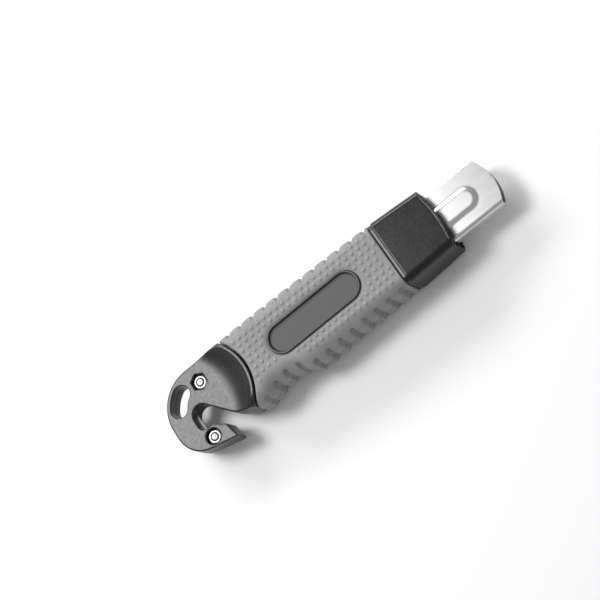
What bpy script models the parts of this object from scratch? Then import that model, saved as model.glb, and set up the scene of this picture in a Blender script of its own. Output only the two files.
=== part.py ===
"""Utility knife with a steel blade sheath at the nose and a strap-cutting hook at the tail.

The knife lies on its back: +X runs along it to the nose, +Y to its spine and +Z out of its front face.
Every piece is drawn about the plane where the two handle halves meet, and hangs from one empty there.
"""
import math

import bmesh
import bpy
from mathutils import Vector

# ---- driving sizes, in metres -------------------------------------------------------------------
OVERALL_LENGTH = 0.1700        # back of the hook to the tip of the nose
HOOK_HEIGHT = 0.0372           # spine to the lowest point of the hook's lip
HANDLE_THICKNESS = 0.0208      # front grip face to rear grip face
HOOK_THICKNESS = 0.0096        # the flat hook
GRIP_WALL = 0.0020             # soft grip over the shells
GAP = 0.0003                   # between pieces that touch
SLIDE_GAP = 0.00035            # each side of a piece that slides

HOOK_TO_JOINT = 0.0433         # back of the hook to the front of the shells' bare end
JOINT_RADIUS = 0.0241          # round line where the grip starts
JOINT_CENTRE_Y = 0.0023
SHOULDER_RUN = 0.0150          # length of the scoop from the flat hook up to the handle
SCOOP_STRAIGHTER = 0.0100      # added radius at its start, so that it begins almost straight across
SCOOP_POWER = 2.3              # how late the scoop rises
SHOULDER_RIM = 0.0013          # level rim between the ramp and the grip
COLLAR_LENGTH = 0.0259
GUARD_REACH = 0.0263           # sheath in front of the collar

SPINE_DROP = 0.0028            # the spine comes down this much from hook to collar
BELLY_DEPTH = 0.0171           # finger side below the centre line at its fullest
BELLY_TO_COLLAR = 0.0458
BELLY_RISE_FRONT = 0.0018
BELLY_RISE_BACK = 0.0011
WAIST_DEPTH = 0.0034           # hollow for the first finger behind the hook
WAIST_HALF_LENGTH = 0.0090
WAIST_FROM_JOINT = 0.0112
SPINE_CORNER = 0.0060
FINGER_CORNER = 0.0070
COLLAR_CORNER = 0.0032

GROOVE_PITCH = 0.0065
FINGER_GROOVE_WIDTH = 0.0021
FINGER_GROOVE_DEPTH = 0.0008
SPINE_GROOVE_WIDTH = 0.0018
SPINE_GROOVE_DEPTH = 0.0007
GROOVE_HALF_SPAN = 0.0086      # how far round each corner a groove runs

PLATE_LENGTH = 0.0474          # oval plates on both faces
PLATE_HEIGHT = 0.0139
PLATE_RISE = 0.0004
PLATE_RIM = 0.0013
PLATE_FIELD_DROP = 0.0008
PLATE_CENTRE_Y = 0.0005

CROWN_RADIUS = 0.0180          # upper back of the hook
LIMB_RADIUS = 0.0125           # lower back of the hook
LIMB_SLOPE = math.radians(13)  # the limb's lower edge
LIP_REACH = 0.0227             # back of the hook to the lip's end
LIP_HEIGHT = 0.0076
NOTCH_RADIUS = 0.0042          # closed end of the strap notch
NOTCH_BACK_WALL = 0.0105       # hook material behind the notch
NOTCH_HEIGHT = 0.0093
NOTCH_TOP_Y = 0.0027
NOTCH_FLOOR_RUN = 0.0028       # level floor before it slopes down to the lip
NOTCH_SLOPE = math.radians(51)
JAW_RUN = 0.0125               # straight front wall of the notch
JAW_RADIUS = 0.0090
JAW_SLOPE = math.radians(25)
LOOP_RADIUS = 0.0038           # half the width of the lanyard slot
LOOP_ARC_RADIUS = 0.0122
LOOP_START = math.radians(121)
LOOP_END = math.radians(150)

NUT_FLATS = 0.0055
NUT_HEIGHT = 0.0020
BOLT_RADIUS = 0.00135
BOLT_HEAD_RADIUS = 0.00275
BOLT_HEAD_HEIGHT = 0.0019
HEAD_SINK = 0.0013             # how far nuts and heads lie below the face

GUARD_HEIGHT = 0.0221
GUARD_DEPTH = 0.0065
GUARD_SHEET = 0.0008
GUARD_CENTRE_Y = -0.00045
GUARD_NOSE_RADIUS = 0.0211
GUARD_FOLD = 0.0016
GUARD_TAIL = 0.0227            # sheath inside the collar
RIB_HEIGHT = 0.0006            # pressed rib on each side of the sheath
RIB_WIDTH = 0.0110
RIB_SLOPE = 0.0026
RIB_FROM_NOSE = 0.0086
COLLAR_WALL_TOP = 0.0023       # at the nose end
COLLAR_WALL = 0.0015
MOUTH_RECESS = 0.0019

BLADE_LENGTH = 0.0610
BLADE_HEIGHT = 0.0190
BLADE_THICKNESS = 0.0006
BLADE_SLANT = 0.0140
BLADE_SETBACK = 0.0040         # blade tip behind the tip of the nose
BLADE_TRAVEL = 0.0120
CARRIER_THICKNESS = 0.0042
SPRING_RADIUS = 0.0022
SPRING_WIRE = 0.0003
SPRING_TURNS = 10
PIN_RADIUS = 0.0010
SCREW_RADIUS = 0.0012
SCREW_HEAD_RADIUS = 0.0026
SCREW_HEAD_HEIGHT = 0.0016
STRAP_BLADE_LENGTH = 0.0148
STRAP_BLADE_WIDTH = 0.0041
STRAP_BLADE_THICKNESS = 0.0005

# ---- places that follow from them ---------------------------------------------------------------
X_HOOK = -OVERALL_LENGTH / 2
X_NOSE = OVERALL_LENGTH / 2
X_JOINT = X_HOOK + HOOK_TO_JOINT
X_COLLAR_FRONT = X_NOSE - GUARD_REACH
X_COLLAR_REAR = X_COLLAR_FRONT - COLLAR_LENGTH
X_GRIP_END = X_COLLAR_REAR - 0.0004
X_SPINE_BEND = X_JOINT - 0.0083
X_BELLY = X_COLLAR_REAR - BELLY_TO_COLLAR
X_WAIST = X_JOINT + WAIST_FROM_JOINT
X_PLATE = (X_JOINT + X_COLLAR_REAR) / 2 - 0.00105
SPINE_Y = HOOK_HEIGHT / 2
LIP_Y = -HOOK_HEIGHT / 2
HALF = HANDLE_THICKNESS / 2
HOOK_HALF = HOOK_THICKNESS / 2
CORE_INSET = GRIP_WALL + GAP
CORE_HALF = HALF - CORE_INSET
SEAM = GAP / 2
FAR = OVERALL_LENGTH           # longer than any cut needs

model = bpy.data.collections.new("utility_knife")
tools = bpy.data.collections.new("cutters")


def clear_scene():
    for item in list(bpy.data.objects):
        bpy.data.objects.remove(item, do_unlink=True)
    bpy.context.scene.collection.children.link(model)
    bpy.context.scene.collection.children.link(tools)


# ---- shapes -------------------------------------------------------------------------------------
def place(name, mesh, parent):
    piece = bpy.data.objects.new(name, mesh)
    tools.objects.link(piece)
    piece.parent = parent
    piece.hide_render = True
    piece.display_type = "WIRE"
    return piece


def from_bmesh(name, shape, parent):
    mesh = bpy.data.meshes.new(name)
    bmesh.ops.recalc_face_normals(shape, faces=shape.faces)
    shape.to_mesh(mesh)
    shape.free()
    return place(name, mesh, parent)


def box(name, low, high, parent):
    shape = bmesh.new()
    bmesh.ops.create_cube(shape, size=1.0)
    low = Vector(low)
    high = Vector(high)
    bmesh.ops.scale(shape, vec=high - low, verts=shape.verts)
    bmesh.ops.translate(shape, vec=(low + high) / 2, verts=shape.verts)
    return from_bmesh(name, shape, parent)


def rod(name, centre, radius, z_low, z_high, parent, sides=20, top_radius=None):
    """A cylinder or cone along Z."""
    shape = bmesh.new()
    top = radius if top_radius is None else top_radius
    bmesh.ops.create_cone(shape, cap_ends=True, segments=sides, radius1=radius, radius2=top,
                          depth=z_high - z_low)
    bmesh.ops.translate(shape, vec=(centre[0], centre[1], (z_low + z_high) / 2), verts=shape.verts)
    return from_bmesh(name, shape, parent)


def slab(name, points, z_low, z_high, parent):
    """A flat outline given thickness, as a filled curve turned into a mesh."""
    curve = bpy.data.curves.new(name, "CURVE")
    curve.dimensions = "2D"
    curve.fill_mode = "BOTH"
    curve.extrude = (z_high - z_low) / 2
    line = curve.splines.new("POLY")
    line.points.add(len(points) - 1)
    for knot, (x, y) in zip(line.points, points):
        knot.co = (x, y, 0.0, 1.0)
    line.use_cyclic_u = True
    holder = bpy.data.objects.new(name + "_outline", curve)
    tools.objects.link(holder)
    bpy.context.view_layer.update()
    mesh = bpy.data.meshes.new_from_object(holder.evaluated_get(bpy.context.evaluated_depsgraph_get()))
    bpy.data.objects.remove(holder)
    shape = bmesh.new()
    shape.from_mesh(mesh)
    bpy.data.meshes.remove(mesh)
    bmesh.ops.remove_doubles(shape, verts=shape.verts, dist=1e-6)
    bmesh.ops.translate(shape, vec=(0, 0, (z_low + z_high) / 2), verts=shape.verts)
    return from_bmesh(name, shape, parent)


def loft(name, rings, parent):
    """A closed skin through rings of equal length."""
    shape = bmesh.new()
    rows = [[shape.verts.new(point) for point in ring] for ring in rings]
    count = len(rows[0])
    for row, following in zip(rows, rows[1:]):
        for i in range(count):
            j = (i + 1) % count
            shape.faces.new((row[i], row[j], following[j], following[i]))
    shape.faces.new(rows[0])
    shape.faces.new(reversed(rows[-1]))
    return from_bmesh(name, shape, parent)


def arc(centre, radius, start, end, steps):
    points = []
    for i in range(steps + 1):
        angle = start + (end - start) * i / steps
        points.append((centre[0] + radius * math.cos(angle), centre[1] + radius * math.sin(angle)))
    return points


def oval(centre, length, height, steps=14):
    """A rectangle with half-round ends."""
    radius = height / 2
    reach = length / 2 - radius
    quarter = math.pi / 2
    right = arc((centre[0] + reach, centre[1]), radius, -quarter, quarter, steps)
    left = arc((centre[0] - reach, centre[1]), radius, quarter, 3 * quarter, steps)
    return right + left


def section(x, y_low, y_high, half, low_corner, high_corner, steps=4, bow=0.0, side_steps=1):
    """A rounded rectangle across the knife at x; bow pulls its upper and lower ends back."""
    corners = (
        (y_high - high_corner, half - high_corner, high_corner, 0),
        (y_low + low_corner, half - low_corner, low_corner, 1),
        (y_low + low_corner, -half + low_corner, low_corner, 2),
        (y_high - high_corner, -half + high_corner, high_corner, 3),
    )
    outline = []
    for y, z, radius, quadrant in corners:
        for i in range(steps + 1):
            angle = (quadrant + i / steps) * math.pi / 2
            outline.append((y + radius * math.cos(angle), z + radius * math.sin(angle)))
        if quadrant in (0, 2):
            start, end = corners[quadrant][0], corners[quadrant + 1][0]
            face = half if quadrant == 0 else -half
            outline += [(start + (end - start) * i / side_steps, face) for i in range(1, side_steps)]
    middle = (y_low + y_high) / 2
    reach = (y_high - y_low) / 2
    return [(x - bow * ((y - middle) / reach) ** 2, y, z) for y, z in outline]


def combine(piece, other, operation):
    step = piece.modifiers.new(other.name, "BOOLEAN")
    step.operation = operation
    step.object = other
    step.solver = "EXACT"


def cut(piece, *others):
    for other in others:
        combine(piece, other, "DIFFERENCE")


def fuse(piece, *others):
    for other in others:
        combine(piece, other, "UNION")


def material(name, colour, roughness, metallic=0.0):
    look = bpy.data.materials.new(name)
    look.use_nodes = True
    shader = look.node_tree.nodes["Principled BSDF"]
    shader.inputs["Base Color"].default_value = (*colour, 1.0)
    shader.inputs["Roughness"].default_value = roughness
    shader.inputs["Metallic"].default_value = metallic
    return look


def finish(piece, colour, roughness, metallic=0.0):
    """Show a finished sub-part, with its own material and smooth round faces."""
    tools.objects.unlink(piece)
    model.objects.link(piece)
    piece.hide_render = False
    piece.display_type = "TEXTURED"
    piece.data.materials.append(material(piece.name, colour, roughness, metallic))
    piece.data.shade_smooth()
    piece.data.set_sharp_from_angle(angle=math.radians(35))


BLACK_PLASTIC = ((0.028, 0.028, 0.030), 0.42)
GREY_RUBBER = ((0.25, 0.25, 0.255), 0.75)
PLATE_BLACK = ((0.040, 0.040, 0.043), 0.35)
ZINC = ((0.80, 0.80, 0.80), 0.28, 1.0)
STEEL = ((0.74, 0.74, 0.74), 0.30, 1.0)
BLADE_STEEL = ((0.62, 0.63, 0.64), 0.22, 1.0)
SPRING_STEEL = ((0.55, 0.55, 0.56), 0.30, 1.0)
SLIDER_GREY = ((0.09, 0.09, 0.095), 0.55)


# ---- the handle's outline -----------------------------------------------------------------------
def spine(x):
    run = max(0.0, (x - X_SPINE_BEND) / (X_COLLAR_REAR - X_SPINE_BEND))
    return SPINE_Y - SPINE_DROP * run ** 2


def finger_side(x):
    if x > X_BELLY:
        base = BELLY_RISE_FRONT * (x - X_BELLY) / BELLY_TO_COLLAR
    else:
        base = BELLY_RISE_BACK * ((X_BELLY - x) / (X_BELLY - X_JOINT)) ** 2
    waist = WAIST_DEPTH * math.exp(-((x - X_WAIST) / WAIST_HALF_LENGTH) ** 4)
    return -BELLY_DEPTH + base + waist


def handle_loft(name, x_low, x_high, inset, parent, spacing=0.0046):
    """The handle's body from x_low to x_high, drawn inside its outer surface by inset."""
    stations = max(2, round((x_high - x_low) / spacing))
    rings = []
    for i in range(stations + 1):
        x = x_low + (x_high - x_low) * i / stations
        blend = min(1.0, max(0.0, x / X_COLLAR_REAR))
        high_corner = SPINE_CORNER + (COLLAR_CORNER + 0.0013 - SPINE_CORNER) * blend
        low_corner = FINGER_CORNER + (COLLAR_CORNER + 0.0013 - FINGER_CORNER) * blend
        rings.append(section(x, finger_side(x) + inset, spine(x) - inset, HALF - inset,
                             low_corner - inset, high_corner - inset))
    return loft(name, rings, parent)


def joint_disc(name, extra, parent):
    centre = (X_JOINT - JOINT_RADIUS, JOINT_CENTRE_Y)
    return rod(name, centre, JOINT_RADIUS + extra, -FAR, FAR, parent, sides=72)


# ---- the hook's outline -------------------------------------------------------------------------
CROWN_CENTRE = (X_HOOK + CROWN_RADIUS, SPINE_Y - CROWN_RADIUS)
LIP_X = X_HOOK + LIP_REACH
LIMB_TURN = math.radians(270) - LIMB_SLOPE
LIMB_START_X = X_HOOK + LIMB_RADIUS * (1 - math.sin(LIMB_SLOPE))
LIP_EDGE = 0.0008
LIP_LINE_Y = LIP_Y - LIP_EDGE * (math.tan(LIMB_SLOPE) + 1 / math.cos(LIMB_SLOPE) - 1)
LIMB_CENTRE = (X_HOOK + LIMB_RADIUS, LIP_LINE_Y + (LIP_X - LIMB_START_X) * math.tan(LIMB_SLOPE)
               + LIMB_RADIUS * math.cos(LIMB_SLOPE))
NOTCH_CENTRE = (X_HOOK + NOTCH_BACK_WALL + NOTCH_RADIUS, NOTCH_TOP_Y - NOTCH_RADIUS)
NOTCH_FLOOR_Y = NOTCH_TOP_Y - NOTCH_RADIUS / 2 - NOTCH_HEIGHT + 0.0010
UPPER_BOLT = (X_HOOK + 0.0212, SPINE_Y - 0.0080)
LOWER_BOLT = (X_HOOK + 0.0136, LIP_Y + 0.0064)


def jaw():
    """Front wall of the notch, round the jaw and out past the finger side."""
    tangent = math.pi / 2 - NOTCH_SLOPE
    start = (NOTCH_CENTRE[0] + NOTCH_RADIUS * math.cos(tangent),
             NOTCH_CENTRE[1] + NOTCH_RADIUS * math.sin(tangent))
    end = (start[0] + JAW_RUN * math.cos(NOTCH_SLOPE), start[1] - JAW_RUN * math.sin(NOTCH_SLOPE))
    centre = (end[0] + JAW_RADIUS * math.cos(tangent), end[1] + JAW_RADIUS * math.sin(tangent))
    bend = arc(centre, JAW_RADIUS, tangent + math.pi, math.radians(270) - JAW_SLOPE, 6)
    last = bend[-1]
    reach = X_JOINT - last[0] + 0.004
    out = (last[0] + reach, last[1] - reach * math.tan(JAW_SLOPE))
    return bend + [out]


def notch_top():
    """Round closed end of the notch, from its back wall over to its front wall."""
    return arc(NOTCH_CENTRE, NOTCH_RADIUS, math.pi, math.pi / 2 - NOTCH_SLOPE, 12)


def notch_floor():
    """Lip's upper edge and the floor of the notch, from the lip's end to the back wall."""
    corner = 0.0030
    tip = 0.0011
    lip_top = (LIP_X - 0.0011, LIP_Y + LIP_HEIGHT)
    tip_round = arc((lip_top[0] - tip, lip_top[1] - tip), tip, 0.0, math.radians(60), 4)
    floor_centre = (X_HOOK + NOTCH_BACK_WALL + corner, NOTCH_FLOOR_Y + corner)
    bottom = arc(floor_centre, corner, math.radians(270), math.pi, 6)
    return tip_round + [(floor_centre[0] + NOTCH_FLOOR_RUN, NOTCH_FLOOR_Y)] + bottom


def hook_outline():
    quarter = math.pi / 2
    x_inside = X_JOINT - SHOULDER_RIM - 0.0035
    crown = arc(CROWN_CENTRE, CROWN_RADIUS, quarter, math.pi, 12)
    limb = arc(LIMB_CENTRE, LIMB_RADIUS, math.pi, LIMB_TURN, 8)
    lip_corner = arc((LIP_X - LIP_EDGE, LIP_Y + LIP_EDGE), LIP_EDGE, LIMB_TURN, math.radians(360), 4)
    walls = jaw()
    jaw_end = (x_inside, walls[-2][1] - (x_inside - walls[-2][0]) * math.tan(JAW_SLOPE))
    return ([(x_inside, SPINE_Y)] + crown + limb + lip_corner + notch_floor() + notch_top()
            + walls[:-1] + [jaw_end])


def notch_mouth(parent):
    """The space under the jaw, cut out of the thick shoulder."""
    walls = jaw()
    start = notch_top()[-1]
    below = [(walls[-1][0], -FAR), (start[0] - 0.004, -FAR), (start[0] - 0.004, start[1])]
    return slab("mouth_space", [start] + walls + below, -FAR, FAR, parent)


def lanyard_slot(parent):
    quarter = math.pi / 2
    start = (CROWN_CENTRE[0] + LOOP_ARC_RADIUS * math.cos(LOOP_START),
             CROWN_CENTRE[1] + LOOP_ARC_RADIUS * math.sin(LOOP_START))
    end = (CROWN_CENTRE[0] + LOOP_ARC_RADIUS * math.cos(LOOP_END),
           CROWN_CENTRE[1] + LOOP_ARC_RADIUS * math.sin(LOOP_END))
    outer = arc(CROWN_CENTRE, LOOP_ARC_RADIUS + LOOP_RADIUS, LOOP_START, LOOP_END, 6)
    inner = arc(CROWN_CENTRE, LOOP_ARC_RADIUS - LOOP_RADIUS, LOOP_END, LOOP_START, 4)
    far_end = arc(end, LOOP_RADIUS, LOOP_END, LOOP_END + 2 * quarter, 10)
    near_end = arc(start, LOOP_RADIUS, LOOP_START + 2 * quarter, LOOP_START + 4 * quarter, 10)
    return slab("lanyard_space", outer + far_end[1:-1] + inner + near_end[1:-1], -FAR, FAR, parent)


def face_hollow(name, side, parent):
    """The scoop that thins the handle down to the flat hook, on one face."""
    height = HALF - HOOK_HALF
    rings = []
    for level in (0.0, 0.03, 0.12, 0.28, 0.50, 0.75, 1.0, 3.0):
        rise = min(level, 1.0)
        radius = JOINT_RADIUS - SHOULDER_RIM + SCOOP_STRAIGHTER * (1 - rise)
        edge = X_JOINT - SHOULDER_RIM - SHOULDER_RUN * (1 - rise ** (1 / SCOOP_POWER))
        z = side * (HOOK_HALF + height * level)
        ring = arc((edge - radius, JOINT_CENTRE_Y), radius, 0, math.tau, 64)[:-1]
        rings.append([(px, py, z) for px, py in ring])
    return loft(name, rings, parent)


# ---- inside the handle --------------------------------------------------------------------------
GUARD_LOW_Y = GUARD_CENTRE_Y - GUARD_HEIGHT / 2
GUARD_HIGH_Y = GUARD_CENTRE_Y + GUARD_HEIGHT / 2
GUARD_OUT = GUARD_DEPTH / 2
GUARD_IN = GUARD_OUT - GUARD_SHEET
X_GUARD_TAIL = X_COLLAR_FRONT - GUARD_TAIL
X_NECK_END = X_COLLAR_FRONT - MOUTH_RECESS

BLADE_LOW_Y = GUARD_LOW_Y + GUARD_SHEET + 0.0009
BLADE_HIGH_Y = BLADE_LOW_Y + BLADE_HEIGHT
X_BLADE_TIP = X_NOSE - BLADE_SETBACK
X_BLADE_HEEL = X_BLADE_TIP - BLADE_LENGTH
X_BLADE_MID = (X_BLADE_TIP + X_BLADE_HEEL) / 2

COLLAR_HALF_REAR = HALF - 0.0001
COLLAR_HALF_FRONT = HALF - 0.0010
COLLAR_TOP_REAR = spine(X_COLLAR_REAR) - 0.0001
COLLAR_TOP_FRONT = COLLAR_TOP_REAR - 0.0015
COLLAR_LOW_REAR = finger_side(X_COLLAR_REAR) + 0.0001
COLLAR_LOW_FRONT = COLLAR_LOW_REAR + 0.0011
COLLAR_IN_TOP = COLLAR_TOP_FRONT - COLLAR_WALL_TOP
COLLAR_IN_LOW = COLLAR_LOW_FRONT + COLLAR_WALL
COLLAR_IN_HALF = COLLAR_HALF_FRONT - COLLAR_WALL
COLLAR_IN_CORNER = 0.0026
TROUGH_Y = COLLAR_IN_TOP + 0.0018

CHAMBER_HALF = CORE_HALF - 0.0025
CHAMBER_Y = 0.0099
CARRIER_HALF = CARRIER_THICKNESS / 2
X_ANCHOR = X_JOINT + 0.0117
X_CHAMBER = X_ANCHOR - 0.0030
X_POST = X_COLLAR_FRONT - 0.0622
SCREW_REAR = (X_JOINT + 0.0042, 0.0020)
SCREW_FRONT = (X_COLLAR_FRONT - 0.0362, 0.0005)
STOP_RADIUS = 0.0024           # post round the front screw, which also stops the blade
X_STEM = X_COLLAR_REAR + 0.0032
STEM_LENGTH = 0.0080
STEM_HALF = 0.0030


def shell(name, side, parent):
    """One moulded half: flat hook, shoulder, core under the grip and neck inside the collar."""
    body = slab(name, hook_outline(), -HOOK_HALF, HOOK_HALF, parent)
    combine(body, joint_disc(name + "_plate_joint", 0.0, parent), "INTERSECT")
    shoulder = handle_loft(name + "_shoulder", X_JOINT - JOINT_RADIUS + 0.0030, X_JOINT + 0.004, 0, parent)
    combine(shoulder, joint_disc(name + "_joint", 0.0, parent), "INTERSECT")
    fuse(shoulder, handle_loft(name + "_core", X_JOINT - 0.0160, X_GRIP_END, CORE_INSET, parent))
    cut(shoulder, face_hollow(name + "_front_hollow", 1, parent),
        face_hollow(name + "_rear_hollow", -1, parent), notch_mouth(parent))
    neck = loft(name + "_neck", [
        section(x, COLLAR_IN_LOW + GAP, COLLAR_IN_TOP - GAP, COLLAR_IN_HALF - GAP,
                COLLAR_IN_CORNER - GAP, COLLAR_IN_CORNER - GAP)
        for x in (X_GRIP_END - 0.0047, X_NECK_END)], parent)
    fuse(body, shoulder, neck)

    chamber = box(name + "_chamber", (X_CHAMBER, -CHAMBER_Y, -CHAMBER_HALF),
                  (X_GUARD_TAIL - GAP, CHAMBER_Y, CHAMBER_HALF), parent)
    slot_half = GUARD_OUT + GAP
    sheath_slot = box(name + "_sheath_slot", (X_GUARD_TAIL - 0.0010, -FAR, -slot_half),
                      (FAR, FAR, slot_half), parent)
    rib_space = box(name + "_rib_space",
                    (X_GUARD_TAIL + 0.0100, GUARD_CENTRE_Y - RIB_WIDTH / 2 - 2 * GAP, -slot_half - RIB_HEIGHT),
                    (FAR, GUARD_CENTRE_Y + RIB_WIDTH / 2 + 2 * GAP, slot_half + RIB_HEIGHT), parent)
    cut(body, chamber, sheath_slot, rib_space, lanyard_slot(parent))

    # Rails that guide the blade carrier, the stop post and the pegs that hold the sheath.
    for label, y_low in (("upper", CHAMBER_Y - 0.0018), ("lower", -CHAMBER_Y - 0.0004)):
        for face in (1, -1):
            near = face * (CARRIER_HALF + SLIDE_GAP)
            far = face * (CHAMBER_HALF + 0.0006)
            rail = box(f"{name}_{label}_rail_{face}", (X_POST + 0.004, y_low, min(near, far)),
                       (X_GUARD_TAIL - 0.0016, y_low + 0.0022, max(near, far)), parent)
            fuse(body, rail)
    fuse(body, rod(name + "_stop", SCREW_FRONT, STOP_RADIUS, -CHAMBER_HALF - 0.0006,
                   CHAMBER_HALF + 0.0006, parent))
    for label, x, y in (("upper", X_GUARD_TAIL + 0.0045, 0.0078), ("lower", X_NECK_END - 0.0042, -0.0078)):
        low = side * (GUARD_IN + 0.0001)
        high = side * (slot_half + 0.0012)
        fuse(body, rod(f"{name}_{label}_peg", (x, y), 0.0014, min(low, high), max(low, high), parent))

    # Pockets for the strap blade, the spring's pin, the hook's bolts and the handle's screws.
    half_blade = STRAP_BLADE_THICKNESS / 2 + GAP
    pocket = box(name + "_blade_pocket",
                 (STRAP_BLADE_X - STRAP_BLADE_WIDTH - GAP, STRAP_BLADE_Y - GAP, -half_blade),
                 (STRAP_BLADE_X + 0.001, STRAP_BLADE_Y + STRAP_BLADE_LENGTH + GAP, half_blade), parent)
    pin_hole = rod(name + "_pin_hole", (X_ANCHOR, 0), PIN_RADIUS + GAP, -CHAMBER_HALF - 0.0015,
                   CHAMBER_HALF + 0.0015, parent)
    cut(body, pocket, pin_hole)
    for label, centre in (("upper", UPPER_BOLT), ("lower", LOWER_BOLT)):
        cut(body, rod(f"{name}_{label}_bolt_hole", centre, BOLT_RADIUS + GAP, -FAR, FAR, parent))
        if side > 0:
            nut_floor = HOOK_HALF - HEAD_SINK - NUT_HEIGHT - GAP
            radius = nut_radius() + 0.0006 if label == "upper" else nut_radius() + GAP
            sides = 6 if label == "upper" else 24
            cut(body, rod(f"{name}_{label}_nut_space", centre, radius, nut_floor, FAR, parent, sides=sides))
        else:
            head_floor = HOOK_HALF - HEAD_SINK - BOLT_HEAD_HEIGHT - GAP
            cut(body, rod(f"{name}_{label}_head_space", centre, BOLT_HEAD_RADIUS + GAP, -FAR,
                          -head_floor, parent, sides=24))
    for label, centre in (("rear", SCREW_REAR), ("front", SCREW_FRONT)):
        if side > 0:
            cut(body, rod(f"{name}_{label}_screw_hole", centre, SCREW_RADIUS + GAP, -FAR,
                          CORE_HALF - 0.0014, parent))
        else:
            cut(body, rod(f"{name}_{label}_screw_hole", centre, SCREW_RADIUS + GAP, -FAR, FAR, parent))
            seat = CORE_HALF - SCREW_HEAD_HEIGHT - 2 * GAP
            cut(body, rod(f"{name}_{label}_screw_seat", centre, SCREW_HEAD_RADIUS + GAP, -FAR, -seat,
                          parent, sides=24))

    low, high = (SEAM, FAR) if side > 0 else (-FAR, -SEAM)
    combine(body, box(name + "_half", (-FAR, -FAR, low), (FAR, FAR, high), parent), "INTERSECT")
    finish(body, *BLACK_PLASTIC)


def grooves(name, side_y, width, depth, x_first, parent):
    """Short grooves across one edge of the grip, each with round ends and a floor that follows it."""
    shape = bmesh.new()
    count = int((X_GRIP_END - 0.0010 - x_first) / GROOVE_PITCH) + 1
    for i in range(count):
        x = x_first + i * GROOVE_PITCH
        ring = [(x + px, side_y * 0.0040, pz) for pz, px in oval((0, 0), 2 * GROOVE_HALF_SPAN, width, 4)]
        near = [shape.verts.new(point) for point in ring]
        far = [shape.verts.new((px, side_y * 0.0300, pz)) for px, py, pz in ring]
        last = len(ring) - 1
        for j in range(len(ring)):
            k = 0 if j == last else j + 1
            shape.faces.new((near[j], near[k], far[k], far[j]))
        shape.faces.new(near)
        shape.faces.new(reversed(far))
    bands = from_bmesh(name, shape, parent)
    cut(bands, handle_loft(name + "_floor", X_JOINT - 0.030, X_COLLAR_REAR + 0.004, depth, parent))
    return bands


def grip(name, side, parent):
    """One soft half of the grip, moulded over the core."""
    x_start = X_JOINT - JOINT_RADIUS + 0.0030
    skin = handle_loft(name, x_start, X_GRIP_END, 0.0, parent)
    cut(skin, handle_loft(name + "_core_space", x_start - 0.002, X_GRIP_END + 0.002, GRIP_WALL, parent),
        joint_disc(name + "_joint", 0.00035, parent),
        grooves(name + "_finger_grooves", -1, FINGER_GROOVE_WIDTH, FINGER_GROOVE_DEPTH,
                X_JOINT - 0.0008, parent),
        grooves(name + "_spine_grooves", 1, SPINE_GROOVE_WIDTH, SPINE_GROOVE_DEPTH,
                X_JOINT + 0.0003, parent))
    window = oval((X_PLATE, PLATE_CENTRE_Y), PLATE_LENGTH + 2 * GAP, PLATE_HEIGHT + 2 * GAP)
    low, high = (HALF - GRIP_WALL - 0.001, FAR) if side > 0 else (-FAR, -HALF + GRIP_WALL + 0.001)
    cut(skin, slab(name + "_window", window, low, high, parent))
    if side < 0:
        for label, centre in (("rear", SCREW_REAR), ("front", SCREW_FRONT)):
            cut(skin, rod(f"{name}_{label}_hole", centre, SCREW_HEAD_RADIUS + GAP, -FAR,
                          -HALF + GRIP_WALL + 0.001, parent, sides=24))
    low, high = (SEAM, FAR) if side > 0 else (-FAR, -SEAM)
    combine(skin, box(name + "_half", (-FAR, -FAR, low), (FAR, FAR, high), parent), "INTERSECT")
    finish(skin, *GREY_RUBBER)


def oval_plate(name, side, parent):
    """An oval plate set in the grip: a raised rim round a lower field on the front, plain behind."""
    outline = oval((X_PLATE, PLATE_CENTRE_Y), PLATE_LENGTH, PLATE_HEIGHT)
    low = side * (CORE_HALF + GAP)
    high = side * (HALF + PLATE_RISE)
    plate = slab(name, outline, min(low, high), max(low, high), parent)
    if side > 0:
        field = oval((X_PLATE, PLATE_CENTRE_Y), PLATE_LENGTH - 2 * PLATE_RIM, PLATE_HEIGHT - 2 * PLATE_RIM)
        cut(plate, slab(name + "_field", field, HALF + PLATE_RISE - PLATE_FIELD_DROP, FAR, parent))
    finish(plate, *PLATE_BLACK)


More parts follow.
